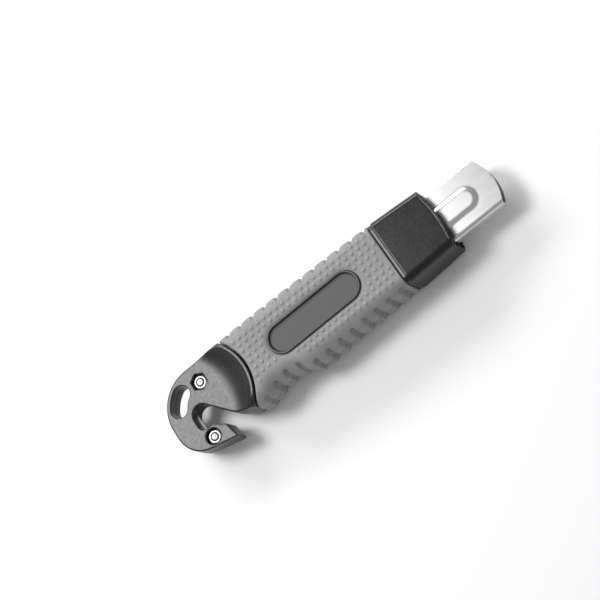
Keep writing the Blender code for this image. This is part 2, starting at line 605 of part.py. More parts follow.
def collar(parent):
    """Moulded ferrule over the front of both shells, open at the nose, with the slider's slot."""
    def ring(x, shrink=0.0, bow=0.0):
        run = (x - X_COLLAR_REAR) / COLLAR_LENGTH
        low = COLLAR_LOW_REAR + (COLLAR_LOW_FRONT - COLLAR_LOW_REAR) * run + shrink
        high = COLLAR_TOP_REAR + (COLLAR_TOP_FRONT - COLLAR_TOP_REAR) * run - shrink
        half = COLLAR_HALF_REAR + (COLLAR_HALF_FRONT - COLLAR_HALF_REAR) * run - shrink
        return section(x, low, high, half, COLLAR_CORNER - shrink, COLLAR_CORNER - shrink, bow=bow,
                       side_steps=8)

    step = 0.0005
    rings = [ring(X_COLLAR_REAR, step), ring(X_COLLAR_REAR + 0.0014, step), ring(X_COLLAR_REAR + 0.0016)]
    for i in range(1, 4):
        rings.append(ring(X_COLLAR_REAR + COLLAR_LENGTH * i / 4))
    rings.append(ring(X_COLLAR_FRONT - 0.0014, 0.0, 0.0013))
    rings.append(ring(X_COLLAR_FRONT - 0.0005, 0.0002, 0.0015))
    rings.append(ring(X_COLLAR_FRONT, 0.0007, 0.0015))
    body = loft("collar", rings, parent)
    hollow = loft("collar_hollow", [
        section(x, COLLAR_IN_LOW, COLLAR_IN_TOP, COLLAR_IN_HALF, COLLAR_IN_CORNER, COLLAR_IN_CORNER)
        for x in (X_COLLAR_REAR - 0.004, X_COLLAR_FRONT + 0.004)], parent)
    trough = box("collar_trough", (X_STEM - 0.0018, TROUGH_Y, -0.0049),
                 (X_STEM + STEM_LENGTH + BLADE_TRAVEL + 0.0016, FAR, 0.0049), parent)
    slot = box("collar_slot", (X_STEM - GAP, 0, -STEM_HALF - GAP),
               (X_STEM + STEM_LENGTH + BLADE_TRAVEL + GAP, FAR, STEM_HALF + GAP), parent)
    cut(body, hollow, trough, slot)
    finish(body, *BLACK_PLASTIC)


def guard(parent):
    """Blade sheath folded from steel sheet: two sides joined along the finger side."""
    nose_centre = (X_NOSE - GUARD_NOSE_RADIUS, GUARD_CENTRE_Y)
    spread = math.asin(GUARD_HEIGHT / 2 / GUARD_NOSE_RADIUS)
    nose = arc(nose_centre, GUARD_NOSE_RADIUS, -spread, spread, 12)
    outline = [(X_GUARD_TAIL, GUARD_HIGH_Y), (X_GUARD_TAIL, GUARD_LOW_Y)] + nose
    body = slab("guard", outline, -GUARD_OUT, GUARD_OUT, parent)
    # The two long folded edges are rounded off by cutting with an inside-corner strip.
    for face in (1, -1):
        centre = (GUARD_LOW_Y + GUARD_FOLD, face * (GUARD_OUT - GUARD_FOLD))
        bend = arc(centre, GUARD_FOLD, math.radians(180), math.radians(180) - face * math.pi / 2, 6)
        far = 0.001
        strip = bend + [(centre[0], face * (GUARD_OUT + far)), (GUARD_LOW_Y - far, face * (GUARD_OUT + far)),
                        (GUARD_LOW_Y - far, centre[1])]
        rings = [[(x, y, z) for y, z in strip] for x in (X_GUARD_TAIL - 0.002, X_NOSE + 0.002)]
        cut(body, loft(f"guard_fold_{face}", rings, parent))
    inside = box("guard_inside", (X_GUARD_TAIL - 0.002, GUARD_LOW_Y + GUARD_SHEET, -GUARD_IN),
                 (X_NOSE + 0.002, GUARD_HIGH_Y + 0.002, GUARD_IN), parent)
    cut(body, inside)
    for face in (1, -1):
        for label, level, operation in (("rib", GUARD_OUT, "UNION"), ("rib_hollow", GUARD_IN, "DIFFERENCE")):
            rings = []
            for rise, shrink in ((-0.0003, 0.0), (0.0, 0.0), (RIB_HEIGHT, RIB_SLOPE)):
                inner = 0.0 if label == "rib" else 0.0004
                x_end = X_NOSE - RIB_FROM_NOSE - shrink - inner
                radius = RIB_WIDTH / 2 - shrink - inner
                x_start = X_GUARD_TAIL + 0.0110 + shrink + inner
                tongue = arc((x_end - radius, GUARD_CENTRE_Y), radius, -math.pi / 2, math.pi / 2, 10)
                corners = [(x_start, GUARD_CENTRE_Y + radius), (x_start, GUARD_CENTRE_Y - radius)]
                rings.append([(x, y, face * (level + rise)) for x, y in tongue + corners])
            combine(body, loft(f"guard_{label}_{face}", rings, parent), operation)
    for label, x, y in (("upper", X_GUARD_TAIL + 0.0045, 0.0078), ("lower", X_NECK_END - 0.0042, -0.0078)):
        cut(body, rod(f"guard_{label}_hole", (x, y), 0.0014 + GAP, -FAR, FAR, parent))
    finish(body, *STEEL)


# ---- the blade and what carries it --------------------------------------------------------------
LUG = (X_STEM + 0.0015, X_STEM + STEM_LENGTH - 0.0015)
LUG_HALF = 0.0015
LUG_TOP = COLLAR_IN_TOP + 0.0012
NOTCH_OFFSET = 0.0055          # locating notches either side of the blade's middle
BOSS_RADIUS = 0.0018


def blade(parent):
    notches = []
    for centre in (X_BLADE_MID + NOTCH_OFFSET, X_BLADE_MID - NOTCH_OFFSET):
        notches += [(centre + 0.0016, BLADE_HIGH_Y), (centre + 0.0016, BLADE_HIGH_Y - 0.0025),
                    (centre - 0.0016, BLADE_HIGH_Y - 0.0025), (centre - 0.0016, BLADE_HIGH_Y)]
    outline = ([(X_BLADE_HEEL, BLADE_LOW_Y), (X_BLADE_TIP, BLADE_LOW_Y), (X_BLADE_TIP - BLADE_SLANT, BLADE_HIGH_Y)]
               + notches + [(X_BLADE_HEEL + BLADE_SLANT, BLADE_HIGH_Y)])
    half = BLADE_THICKNESS / 2
    body = slab("blade", outline, -half, half, parent)
    cut(body, rod("blade_hole", (X_BLADE_MID, 0), BOSS_RADIUS + GAP, -FAR, FAR, parent))
    # The cutting edge is ground on both sides.
    for face in (1, -1):
        edge = [(BLADE_LOW_Y - 0.001, face * 0.00004), (BLADE_LOW_Y, face * 0.00004),
                (BLADE_LOW_Y + 0.0026, face * half), (BLADE_LOW_Y + 0.0026, face * 0.002),
                (BLADE_LOW_Y - 0.001, face * 0.002)]
        rings = [[(x, y, z) for y, z in edge] for x in (X_BLADE_HEEL - 0.002, X_BLADE_TIP + 0.002)]
        cut(body, loft(f"blade_grind_{face}", rings, parent))
    finish(body, *BLADE_STEEL)


def blade_carrier(parent):
    """Plastic slide: a plate under the blade, a thick tail behind it and a lug up to the slider."""
    bed = BLADE_THICKNESS / 2 + GAP
    tail_end = X_POST + 0.0045
    y_low, y_high = -CHAMBER_Y + 0.0004, BLADE_HIGH_Y - 0.0002
    front = X_BLADE_HEEL + 0.0400
    body = box("blade_carrier", (tail_end, y_low + 0.0022, -CARRIER_HALF), (front, y_high, -bed), parent)
    slant = BLADE_SLANT / BLADE_HEIGHT
    heel_gap = 0.0008
    lower_x = X_BLADE_HEEL - heel_gap + slant * (y_low + 0.0022 - BLADE_LOW_Y)
    upper_x = X_BLADE_HEEL - heel_gap + slant * (y_high - BLADE_LOW_Y)
    tail = slab("carrier_tail", [(tail_end, y_low + 0.0022), (lower_x, y_low + 0.0022), (upper_x, y_high),
                                 (tail_end, y_high)], -CARRIER_HALF, CARRIER_HALF, parent)
    fuse(body, tail)
    fuse(body, box("carrier_lug_foot", (LUG[0], y_high - 0.002, -CARRIER_HALF),
                   (LUG[1], BLADE_HIGH_Y + 0.0012, -bed), parent))
    fuse(body, box("carrier_lug", (LUG[0], BLADE_HIGH_Y + 0.0004, -LUG_HALF), (LUG[1], LUG_TOP, LUG_HALF), parent))
    fuse(body, rod("carrier_boss", (X_BLADE_MID, 0), BOSS_RADIUS, -CARRIER_HALF + 0.0004, 0.0003, parent))
    for centre in (X_BLADE_MID + NOTCH_OFFSET, X_BLADE_MID - NOTCH_OFFSET):
        fuse(body, box(f"carrier_peg_{centre > X_BLADE_MID}",
                       (centre - 0.0012, BLADE_HIGH_Y - 0.0021, -CARRIER_HALF + 0.0004),
                       (centre + 0.0012, BLADE_HIGH_Y - 0.0004, 0.0002), parent))
    # A tongue with a post, where the spring pulls.
    fuse(body, box("carrier_tongue", (X_POST - 0.0018, -0.0022, -CARRIER_HALF),
                   (tail_end + 0.001, 0.0022, -0.0009), parent))
    fuse(body, rod("carrier_post", (X_POST, 0), PIN_RADIUS, -0.0014, 0.0016, parent))
    reach = STOP_RADIUS + SLIDE_GAP
    stop_slot = oval((SCREW_FRONT[0] - BLADE_TRAVEL / 2, SCREW_FRONT[1]), BLADE_TRAVEL + 2 * reach, 2 * reach, 10)
    cut(body, slab("carrier_slot", stop_slot, -FAR, FAR, parent))
    cut(body, rod("carrier_screw_hole", (X_BLADE_MID, 0), 0.0011, -FAR, FAR, parent))
    finish(body, *SLIDER_GREY)


def blade_clip(parent):
    """Sprung plate that holds the blade down on its carrier."""
    low = BLADE_THICKNESS / 2 + GAP
    outline = oval((X_BLADE_MID, 0), 0.0210, 0.0092, 10)
    body = slab("blade_clip", outline, low, low + 0.0006, parent)
    cut(body, rod("clip_hole", (X_BLADE_MID, 0), 0.0011, -FAR, FAR, parent))
    finish(body, *SPRING_STEEL)


def clip_screw(parent):
    low = BLADE_THICKNESS / 2 + GAP + 0.0006 + 0.0002
    body = rod("clip_screw", (X_BLADE_MID, 0), 0.0018, low, low + 0.0007, parent)
    fuse(body, rod("clip_screw_shank", (X_BLADE_MID, 0), 0.0008, -CARRIER_HALF + 0.0002, low + 0.0003, parent))
    cut(body, box("clip_screw_slot", (X_BLADE_MID - 0.003, -0.0002, low + 0.0004),
                  (X_BLADE_MID + 0.003, 0.0002, low + 0.002), parent))
    finish(body, *ZINC)


def thumb_slider(parent):
    """Ridged button on the spine, with a stem down to the carrier's lug."""
    cap_half = 0.0040
    low = TROUGH_Y + SLIDE_GAP
    ends = (X_STEM - 0.0014, X_STEM + STEM_LENGTH + 0.0012)
    height = 0.0014
    profile = [(ends[0], low), (ends[1], low), (ends[1], low + 0.0005), (ends[1] - 0.0012, low + height),
               (ends[0] + 0.0012, low + height), (ends[0], low + 0.0005)]
    rings = [[(x, y, z) for x, y in profile] for z in (-cap_half, cap_half)]
    body = loft("thumb_slider", rings, parent)
    for i in range(5):
        x = ends[0] + 0.0022 + i * 0.0015
        fuse(body, box(f"slider_ridge_{i}", (x, low + height - 0.0004, -cap_half + 0.0006),
                       (x + 0.0007, low + height + 0.0004, cap_half - 0.0006), parent))
    stem_low = GUARD_HIGH_Y + SLIDE_GAP
    fuse(body, box("slider_stem", (X_STEM, stem_low, -STEM_HALF), (X_STEM + STEM_LENGTH, low + 0.0005, STEM_HALF),
                   parent))
    cut(body, box("slider_socket", (LUG[0] - GAP, stem_low - 0.002, -LUG_HALF - GAP),
                  (LUG[1] + GAP, LUG_TOP + GAP, LUG_HALF + GAP), parent))
    finish(body, *SLIDER_GREY)


def return_spring(parent):
    """Extension coil with an eye at each end, one round the fixed pin and one round the carrier's post."""
    eye = PIN_RADIUS + GAP + SPRING_WIRE
    lead = 0.0042
    x_low = X_ANCHOR + lead
    x_high = X_POST - lead
    steps = 10
    path = []
    for i in range(10, -1, -1):
        angle = math.radians(20 + 27 * i)
        path.append((X_ANCHOR + eye * math.cos(angle), eye * math.sin(angle), 0.0))
    path.append((X_ANCHOR + eye + 0.0008, 0.0, 0.0))
    for i in range(SPRING_TURNS * steps + 1):
        angle = math.tau * i / steps
        swell = min(1.0, i / steps, (SPRING_TURNS * steps - i) / steps)
        radius = SPRING_RADIUS * (0.15 + 0.85 * swell)
        x = x_low + (x_high - x_low) * i / (SPRING_TURNS * steps)
        path.append((x, radius * math.cos(angle), radius * math.sin(angle)))
    path.append((X_POST - eye - 0.0008, 0.0, 0.0))
    for i in range(11):
        angle = math.radians(200 + 27 * i)
        path.append((X_POST + eye * math.cos(angle), eye * math.sin(angle), 0.0))
    curve = bpy.data.curves.new("return_spring", "CURVE")
    curve.dimensions = "3D"
    curve.bevel_depth = SPRING_WIRE
    curve.bevel_resolution = 1
    curve.use_fill_caps = True
    line = curve.splines.new("POLY")
    line.points.add(len(path) - 1)
    for knot, point in zip(line.points, path):
        knot.co = (*point, 1.0)
    spring = bpy.data.objects.new("return_spring", curve)
    tools.objects.link(spring)
    spring.parent = parent
    bpy.context.view_layer.update()
    mesh = bpy.data.meshes.new_from_object(spring.evaluated_get(bpy.context.evaluated_depsgraph_get()))
    bpy.data.objects.remove(spring)
    shape = bmesh.new()
    shape.from_mesh(mesh)
    bmesh.ops.remove_doubles(shape, verts=shape.verts, dist=1e-6)
    finish(from_bmesh("return_spring", shape, parent), *SPRING_STEEL)


# ---- fasteners and the strap blade --------------------------------------------------------------
STRAP_BLADE_X = X_HOOK + NOTCH_BACK_WALL + 0.0010
STRAP_BLADE_Y = NOTCH_FLOOR_Y - 0.0042


def nut_radius():
    return NUT_FLATS / 2 / math.cos(math.pi / 6)


def bolt_and_nut(name, centre, parent):
    nut_low = HOOK_HALF - HEAD_SINK - NUT_HEIGHT
    nut = rod(name + "_nut", centre, nut_radius(), nut_low, nut_low + NUT_HEIGHT, parent, sides=6)
    round_off = rod(name + "_nut_round", centre, nut_radius() + 0.0010, nut_low - 0.001,
                    nut_low + NUT_HEIGHT + 0.0004, parent, sides=24, top_radius=nut_radius() - 0.0006)
    combine(nut, round_off, "INTERSECT")
    cut(nut, rod(name + "_nut_bore", centre, BOLT_RADIUS + GAP, -FAR, FAR, parent))
    finish(nut, *ZINC)

    head_low = -HOOK_HALF + HEAD_SINK
    bolt = rod(name + "_bolt", centre, BOLT_HEAD_RADIUS - 0.0005, head_low, head_low + BOLT_HEAD_HEIGHT,
               parent, sides=24, top_radius=BOLT_HEAD_RADIUS)
    fuse(bolt, rod(name + "_bolt_shank", centre, BOLT_RADIUS, head_low + 0.0005,
                   nut_low + NUT_HEIGHT + 0.0004, parent))
    cut(bolt, rod(name + "_bolt_socket", centre, 0.0012, head_low - 0.001, head_low + 0.0010, parent, sides=6))
    finish(bolt, *ZINC)


def body_screw(name, centre, parent):
    head_low = -CORE_HALF + GAP
    screw = rod(name, centre, SCREW_HEAD_RADIUS - 0.0004, head_low, head_low + SCREW_HEAD_HEIGHT, parent,
                sides=24, top_radius=SCREW_HEAD_RADIUS)
    fuse(screw, rod(name + "_shank", centre, SCREW_RADIUS, head_low + 0.0005, CORE_HALF - 0.0020, parent))
    for label, length, width in (("long", 0.0030, 0.0007), ("cross", 0.0007, 0.0030)):
        cut(screw, box(f"{name}_{label}_slot", (centre[0] - length / 2, centre[1] - width / 2, -FAR),
                       (centre[0] + length / 2, centre[1] + width / 2, head_low + 0.0009), parent))
    finish(screw, *ZINC)


def strap_blade(parent):
    """Straight blade across the closed end of the notch, held between the two hook halves."""
    half = STRAP_BLADE_THICKNESS / 2
    y_high = STRAP_BLADE_Y + STRAP_BLADE_LENGTH
    profile = [(STRAP_BLADE_X - STRAP_BLADE_WIDTH, -half), (STRAP_BLADE_X - 0.0010, -half),
               (STRAP_BLADE_X, -0.00004), (STRAP_BLADE_X, 0.00004), (STRAP_BLADE_X - 0.0010, half),
               (STRAP_BLADE_X - STRAP_BLADE_WIDTH, half)]
    rings = [[(x, y, z) for x, z in profile] for y in (STRAP_BLADE_Y, y_high)]
    finish(loft("strap_blade", rings, parent), *BLADE_STEEL)


def spring_pin(parent):
    reach = CHAMBER_HALF + 0.0012
    finish(rod("spring_pin", (X_ANCHOR, 0), PIN_RADIUS, -reach, reach, parent), *SPRING_STEEL)


def main():
    clear_scene()
    midplane = bpy.data.objects.new("midplane", None)
    midplane.location = (0, 0, HALF + PLATE_RISE)
    model.objects.link(midplane)
    carriage = bpy.data.objects.new("carriage", None)
    carriage.parent = midplane
    model.objects.link(carriage)

    shell("front_shell", 1, midplane)
    shell("rear_shell", -1, midplane)
    grip("front_grip", 1, midplane)
    grip("rear_grip", -1, midplane)
    oval_plate("front_plate", 1, midplane)
    oval_plate("rear_plate", -1, midplane)
    collar(midplane)
    guard(midplane)
    strap_blade(midplane)
    bolt_and_nut("upper", UPPER_BOLT, midplane)
    bolt_and_nut("lower", LOWER_BOLT, midplane)
    body_screw("rear_screw", SCREW_REAR, midplane)
    body_screw("front_screw", SCREW_FRONT, midplane)
    spring_pin(midplane)
    return_spring(midplane)
    blade(carriage)
    blade_carrier(carriage)
    blade_clip(carriage)
    clip_screw(carriage)
    thumb_slider(carriage)


main()
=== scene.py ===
"""Looks of a box-cutting utility knife with a strap-cutting hook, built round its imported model.

The knife lies on its back: +X runs to the nose, +Y to the spine and +Z out of its front face.
"""
import math

import bmesh
import bpy
import numpy as np
from mathutils import Matrix, Vector, geometry


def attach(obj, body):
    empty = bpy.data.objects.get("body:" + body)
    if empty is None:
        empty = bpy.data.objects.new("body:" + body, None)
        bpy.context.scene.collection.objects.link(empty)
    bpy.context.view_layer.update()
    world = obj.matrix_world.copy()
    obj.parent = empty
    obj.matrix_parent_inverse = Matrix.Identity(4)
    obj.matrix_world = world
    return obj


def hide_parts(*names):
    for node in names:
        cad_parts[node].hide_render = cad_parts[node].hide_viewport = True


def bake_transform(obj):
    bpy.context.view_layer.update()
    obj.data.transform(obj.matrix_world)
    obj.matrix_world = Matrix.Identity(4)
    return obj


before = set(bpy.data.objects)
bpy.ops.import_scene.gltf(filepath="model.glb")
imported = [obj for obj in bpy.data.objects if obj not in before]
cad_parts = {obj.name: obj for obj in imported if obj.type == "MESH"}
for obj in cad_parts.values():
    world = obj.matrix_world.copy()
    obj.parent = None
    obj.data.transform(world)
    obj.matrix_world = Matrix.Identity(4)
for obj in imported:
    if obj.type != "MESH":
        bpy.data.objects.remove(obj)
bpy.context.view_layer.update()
MM = 0.001
SEAM_Z = 0.0108                # height of the plane where the two handle halves meet


# ---- Camera ---------------------------------------------------------------------------------------
# A long lens looks down on the front face from a little below the finger side, with the knife turned
# to run up to the right.
LOOK_AT = Vector((-0.0095, 0.0122, SEAM_Z))
TO_CAMERA = Vector((0.21, -0.35, 0.913)).normalized()
CAMERA_DISTANCE = 0.850
LENS_MM = 123.4
ROLL = math.radians(39.2)
NEAR_CLIP, FAR_CLIP = 0.01, 20.0

along = (Vector((1, 0, 0)) - TO_CAMERA * TO_CAMERA.x).normalized()
across = TO_CAMERA.cross(along)
right = along * math.cos(ROLL) - across * math.sin(ROLL)
above = along * math.sin(ROLL) + across * math.cos(ROLL)
lens = bpy.data.cameras.new("camera")
lens.sensor_width = 36.0
lens.lens = LENS_MM
lens.clip_start = NEAR_CLIP
lens.clip_end = FAR_CLIP
camera = bpy.data.objects.new("camera", lens)
bpy.context.scene.collection.objects.link(camera)
camera.matrix_world = Matrix.Translation(LOOK_AT + TO_CAMERA * CAMERA_DISTANCE) @ Matrix(
    (right, above, TO_CAMERA)).transposed().to_4x4()
bpy.context.scene.camera = camera


# ---- Studio ---------------------------------------------------------------------------------------
# A white table top and an even surround, with a long soft lamp beyond the spine and a smaller one
# over the hook.
class Wire:
    """A shader socket that takes part in sums, so that a mask can be written as an expression."""

    def __init__(self, maker, socket):
        self.maker = maker
        self.socket = socket

    def math(self, operation, *others):
        return self.maker.node("ShaderNodeMath", {"operation": operation}, [self, *others])

    def __add__(self, other):
        return self.math("ADD", other)

    __radd__ = __add__

    def __mul__(self, other):
        return self.math("MULTIPLY", other)

    __rmul__ = __mul__

    def clamped(self):
        return self.maker.node("ShaderNodeClamp", {}, [self])


class Finish:
    """A node material under construction: a Principled shader and whatever feeds it."""

    def __init__(self, name, roughness, metallic=0.0, **plain):
        self.look = bpy.data.materials.new(name)
        self.look.use_nodes = True
        self.tree = self.look.node_tree
        self.shader = self.tree.nodes["Principled BSDF"]
        self.shader.inputs["Roughness"].default_value = roughness
        self.shader.inputs["Metallic"].default_value = metallic
        for socket, value in plain.items():
            self.shader.inputs[socket.replace("_", " ")].default_value = value

    def node(self, kind, settings, sockets, output=0):
        """Any node: its settings first, then a value or a wire for each of its sockets."""
        made = self.tree.nodes.new(kind)
        for setting, value in settings.items():
            setattr(made, setting, value)
        pairs = sockets.items() if isinstance(sockets, dict) else enumerate(sockets)
        for socket, value in pairs:
            if isinstance(value, Wire):
                self.tree.links.new(value.socket, made.inputs[socket])
            else:
                made.inputs[socket].default_value = value
        return Wire(self, made.outputs[output])

    def place(self):
        return self.node("ShaderNodeTexCoord", {}, {}, "Object")

    def wear(self):
        """How far a point is rubbed or raised, stored on the mesh when it is made."""
        return self.node("ShaderNodeAttribute", {"attribute_name": "wear"}, {}, "Fac")

    def noise(self, scale, detail=3.0, rough=0.55, stretch=None):
        """Noise from 0 to 1; scale is the number of blotches in a metre."""
        at = self.place()
        if stretch:
            at = self.node("ShaderNodeVectorMath", {"operation": "MULTIPLY"}, [at, stretch])
        return self.node("ShaderNodeTexNoise", {}, {"Vector": at, "Scale": scale, "Detail": detail,
                                                   "Roughness": rough})

    def mix(self, share, first, second):
        """Goes from first to second, wires or colours with alpha, as share goes from 0 to 1."""
        factor, colour_a, colour_b, colour_out = 0, 6, 7, 2
        return self.node("ShaderNodeMix", {"data_type": "RGBA"},
                         {factor: share, colour_a: first, colour_b: second}, colour_out)

    def blend(self, share, first, second):
        return self.mix(share, (*first, 1.0), (*second, 1.0))

    def ramp(self, share, low, high):
        """0 below low, 1 above high, and even in between."""
        return self.node("ShaderNodeMapRange", {"interpolation_type": "SMOOTHSTEP"},
                         {"Value": share, "From Min": low, "From Max": high})

    def feed(self, socket, wire):
        self.tree.links.new(wire.socket, self.shader.inputs[socket])

    def mottle(self, pattern, low, high, first, second):
        """Base colour that goes from first to second as the pattern rises from low to high."""
        self.feed("Base Color", self.blend(self.ramp(pattern, low, high), first, second))

    def bump(self, height, depth):
        """Raised by depth metres where height is 1."""
        bumped = self.node("ShaderNodeBump", {}, {"Height": height, "Distance": depth, "Strength": 1.0})
        self.feed("Normal", bumped)


def show(name, mesh, *looks):
    """A new object of the given mesh, with smooth faces and its materials."""
    piece = bpy.data.objects.new(name, mesh)
    bpy.context.scene.collection.objects.link(piece)
    for look in looks:
        mesh.materials.append(look.look)
    mesh.shade_smooth()
    return piece


def area_lamp(name, spot, width, height, power):
    lamp = bpy.data.lights.new(name, "AREA")
    lamp.shape = "RECTANGLE"
    lamp.size = width
    lamp.size_y = height
    lamp.energy = power
    holder = bpy.data.objects.new(name, lamp)
    bpy.context.scene.collection.objects.link(holder)
    holder.location = spot
    holder.rotation_euler = (LOOK_AT - Vector(spot)).to_track_quat("-Z", "Y").to_euler()


TABLE_WHITE = (0.93, 0.93, 0.93)
TABLE_SIZE = 3.0
SURROUND_STRENGTH = 0.40

table_top = Finish("table_white", 0.9)
table_top.shader.inputs["Base Color"].default_value = (*TABLE_WHITE, 1.0)
sheet = bmesh.new()
bmesh.ops.create_grid(sheet, x_segments=8, y_segments=8, size=TABLE_SIZE)
floor_mesh = bpy.data.meshes.new("table")
sheet.to_mesh(floor_mesh)
sheet.free()
table = show("table", floor_mesh, table_top)

surround = bpy.data.worlds.new("studio")
surround.use_nodes = True
backdrop = surround.node_tree.nodes["Background"].inputs
backdrop["Color"].default_value = (1.0, 1.0, 1.0, 1.0)
backdrop["Strength"].default_value = SURROUND_STRENGTH
bpy.context.scene.world = surround
bpy.context.scene.view_settings.view_transform = "Standard"
area_lamp("hook_softbox", (-0.40, 0.36, 0.93), width=0.38, height=0.38, power=6.6)
area_lamp("spine_side_softbox", (-0.20, 0.98, 0.56), width=0.90, height=0.26, power=8.5)


# ---- Shell halves ---------------------------------------------------------------------------------
# Two mirrored mouldings in black glass-filled nylon. Each is a flat hook with a lanyard slot and a
# strap notch, a scooped ramp up to the handle, a core under the grip and a neck inside the collar.
# They are bolted together at the hook and screwed together inside the handle.
HANDLE_HALF = 10.4             # sizes in mm from here on, about the parting plane
HOOK_HALF = 4.8
SEAM = 0.15                    # half the gap between the two halves
SPINE_TOP = 18.6
SPINE_LEVEL_TO = -50.0         # where the spine starts to fall towards the collar, and by how much
SPINE_FALL = 2.8
COLLAR_REAR = 32.8
GRIP_FRONT = 32.4
CROWN_AT, CROWN_RADIUS = (-67.0, 0.6), 18.0            # top and back of the hook
SLOT_RADIUS, SLOT_HALF, SLOT_TURNS = 12.2, 3.8, (121, 150)
LIMB_AT, LIMB_RADIUS, LIMB_END = (-72.5, -3.622), 12.5, 257
LIP_AT, LIP_ROUND = (-63.1, -17.8), 0.8
TIP_AT, TIP_ROUND = (-64.5, -12.1), 1.1
NOTCH_FLOOR, FLOOR_AT, FLOOR_ROUND = (-68.7, -7.7), (-71.5, -4.7), 3.0
NOTCH_AT, NOTCH_RADIUS, NOTCH_SLOPE = (-70.3, -1.5), 4.2, 51
JAW_RUN, JAW_RADIUS, JAW_FALL = 12.5, 9.0, 25
UPPER_BOLT = (-63.8, 10.6)
LOWER_BOLT = (-71.4, -12.2)
JOINT_AT = (-65.8, 2.3)        # middle of the round joint between the hook's ramp and the rubber
JOINT_RADIUS = 24.1
RIM_RADIUS = 22.8
SCOOP_START = -58.0            # where the scoop leaves the flat hook, on the axis of the joint
SCOOP_RUN = 15.0
SCOOP_STRAIGHTER = 10.0        # added radius at the start, so that it begins almost straight across
SCOOP_POWER = 2.3
OUTER_ROUND, JOINT_ROUND, HOLE_ROUND = 0.7, 0.35, 0.45
NUT_POCKET, BOLT_POCKET, HEAD_POCKET = (3.78, 1.2), (3.48, 1.2), (3.05, 1.3)   # radius, floor's height
OUTLINE_STEP, FACE_STEP = 0.34, 0.5                    # spacing of the mesh round and inside outlines
EDGE_GAPS = (0.05, 0.14, 0.26, 0.42, 0.66)             # rows of points beside every edge, to round it
CORE_INSET = 2.4               # how far the core lies under the rubber


class Shape:
    """Points in mm about the parting plane, and the faces between them."""

    def __init__(self):
        self.points = []
        self.faces = []
        self.wear = []

    def add(self, points, wear=0.0):
        start = len(self.points)
        self.points += [tuple(point) for point in points]
        self.wear += list(wear) if hasattr(wear, "__len__") else [wear] * len(points)
        return list(range(start, len(self.points)))

    def band(self, first, second, closed=True):
        """Quads between two rows of the same length."""
        count = len(first)
        for i in range(count if closed else count - 1):
            j = (i + 1) % count
            self.faces.append((first[i], first[j], second[j], second[i]))

    def loft(self, rings, closed=True, caps=(True, True), wear=0.0):
        rows = [self.add(ring, wear) for ring in rings]
        for first, second in zip(rows, rows[1:]):
            self.band(first, second, closed)
        if caps[0]:
            self.faces.append(tuple(reversed(rows[0])))
        if caps[1]:
            self.faces.append(tuple(rows[-1]))
        return rows

    def mesh(self, name, side=1, sharp=40):
        """The mesh in metres; side -1 mirrors it to the rear half."""
        mesh = bpy.data.meshes.new(name)
        mesh.from_pydata([(x * MM, y * MM, side * z * MM + SEAM_Z) for x, y, z in self.points],
                         [], self.faces)
        wear = mesh.attributes.new("wear", "FLOAT", "POINT")
        wear.data.foreach_set("value", np.array(self.wear, np.float32))
        work = bmesh.new()
        work.from_mesh(mesh)
        bmesh.ops.recalc_face_normals(work, faces=work.faces)
        work.to_mesh(mesh)
        work.free()
        mesh.set_sharp_from_angle(angle=math.radians(sharp))
        return mesh


def arc(centre, radius, start, end, step=0.3):
    """Points along an arc; angles in degrees."""
    count = max(3, round(abs(math.radians(end - start)) * radius / step))
    turns = [math.radians(start + (end - start) * i / count) for i in range(count + 1)]
    return [(centre[0] + radius * math.cos(t), centre[1] + radius * math.sin(t)) for t in turns]


def spread(points, step):
    """A closed outline with further points, so that none are more than step apart."""
    out = []
    for a, b in zip(points, points[1:] + points[:1]):
        if math.dist(a, b) < 1e-4:
            continue
        count = max(1, math.ceil(math.dist(a, b) / step))
        out += [(a[0] + (b[0] - a[0]) * i / count, a[1] + (b[1] - a[1]) * i / count)
                for i in range(count)]
    return out


def smooth(value, low, high):
    share = np.clip((value - low) / (high - low), 0.0, 1.0)
    return share * share * (3 - 2 * share)


def spine(x):
    """Height of the spine at x."""
    past = np.maximum(0.0, x - SPINE_LEVEL_TO)
    return SPINE_TOP - SPINE_FALL * (past / (COLLAR_REAR - SPINE_LEVEL_TO)) ** 2


def finger_side(x):
    """Height of the finger side at x: a gentle belly, with a waist for the first finger."""
    base = np.where(x > -13.0, 1.8 * (x + 13.0) / 45.8, 1.1 * ((-13.0 - x) / 28.7) ** 2)
    return -17.1 + base + 3.4 * np.exp(-((x + 30.5) / 9.0) ** 4)


def corner_radii(x):
    """Of the finger side's corner and of the spine's, which tighten towards the collar."""
    share = np.clip(x / COLLAR_REAR, 0.0, 1.0)
    return 7.0 - 2.5 * share, 6.0 - 1.5 * share


def polar(centre, radius, turn):
    """The point at this radius and turn, in degrees, from a centre."""
    angle = math.radians(turn)
    return centre[0] + radius * math.cos(angle), centre[1] + radius * math.sin(angle)


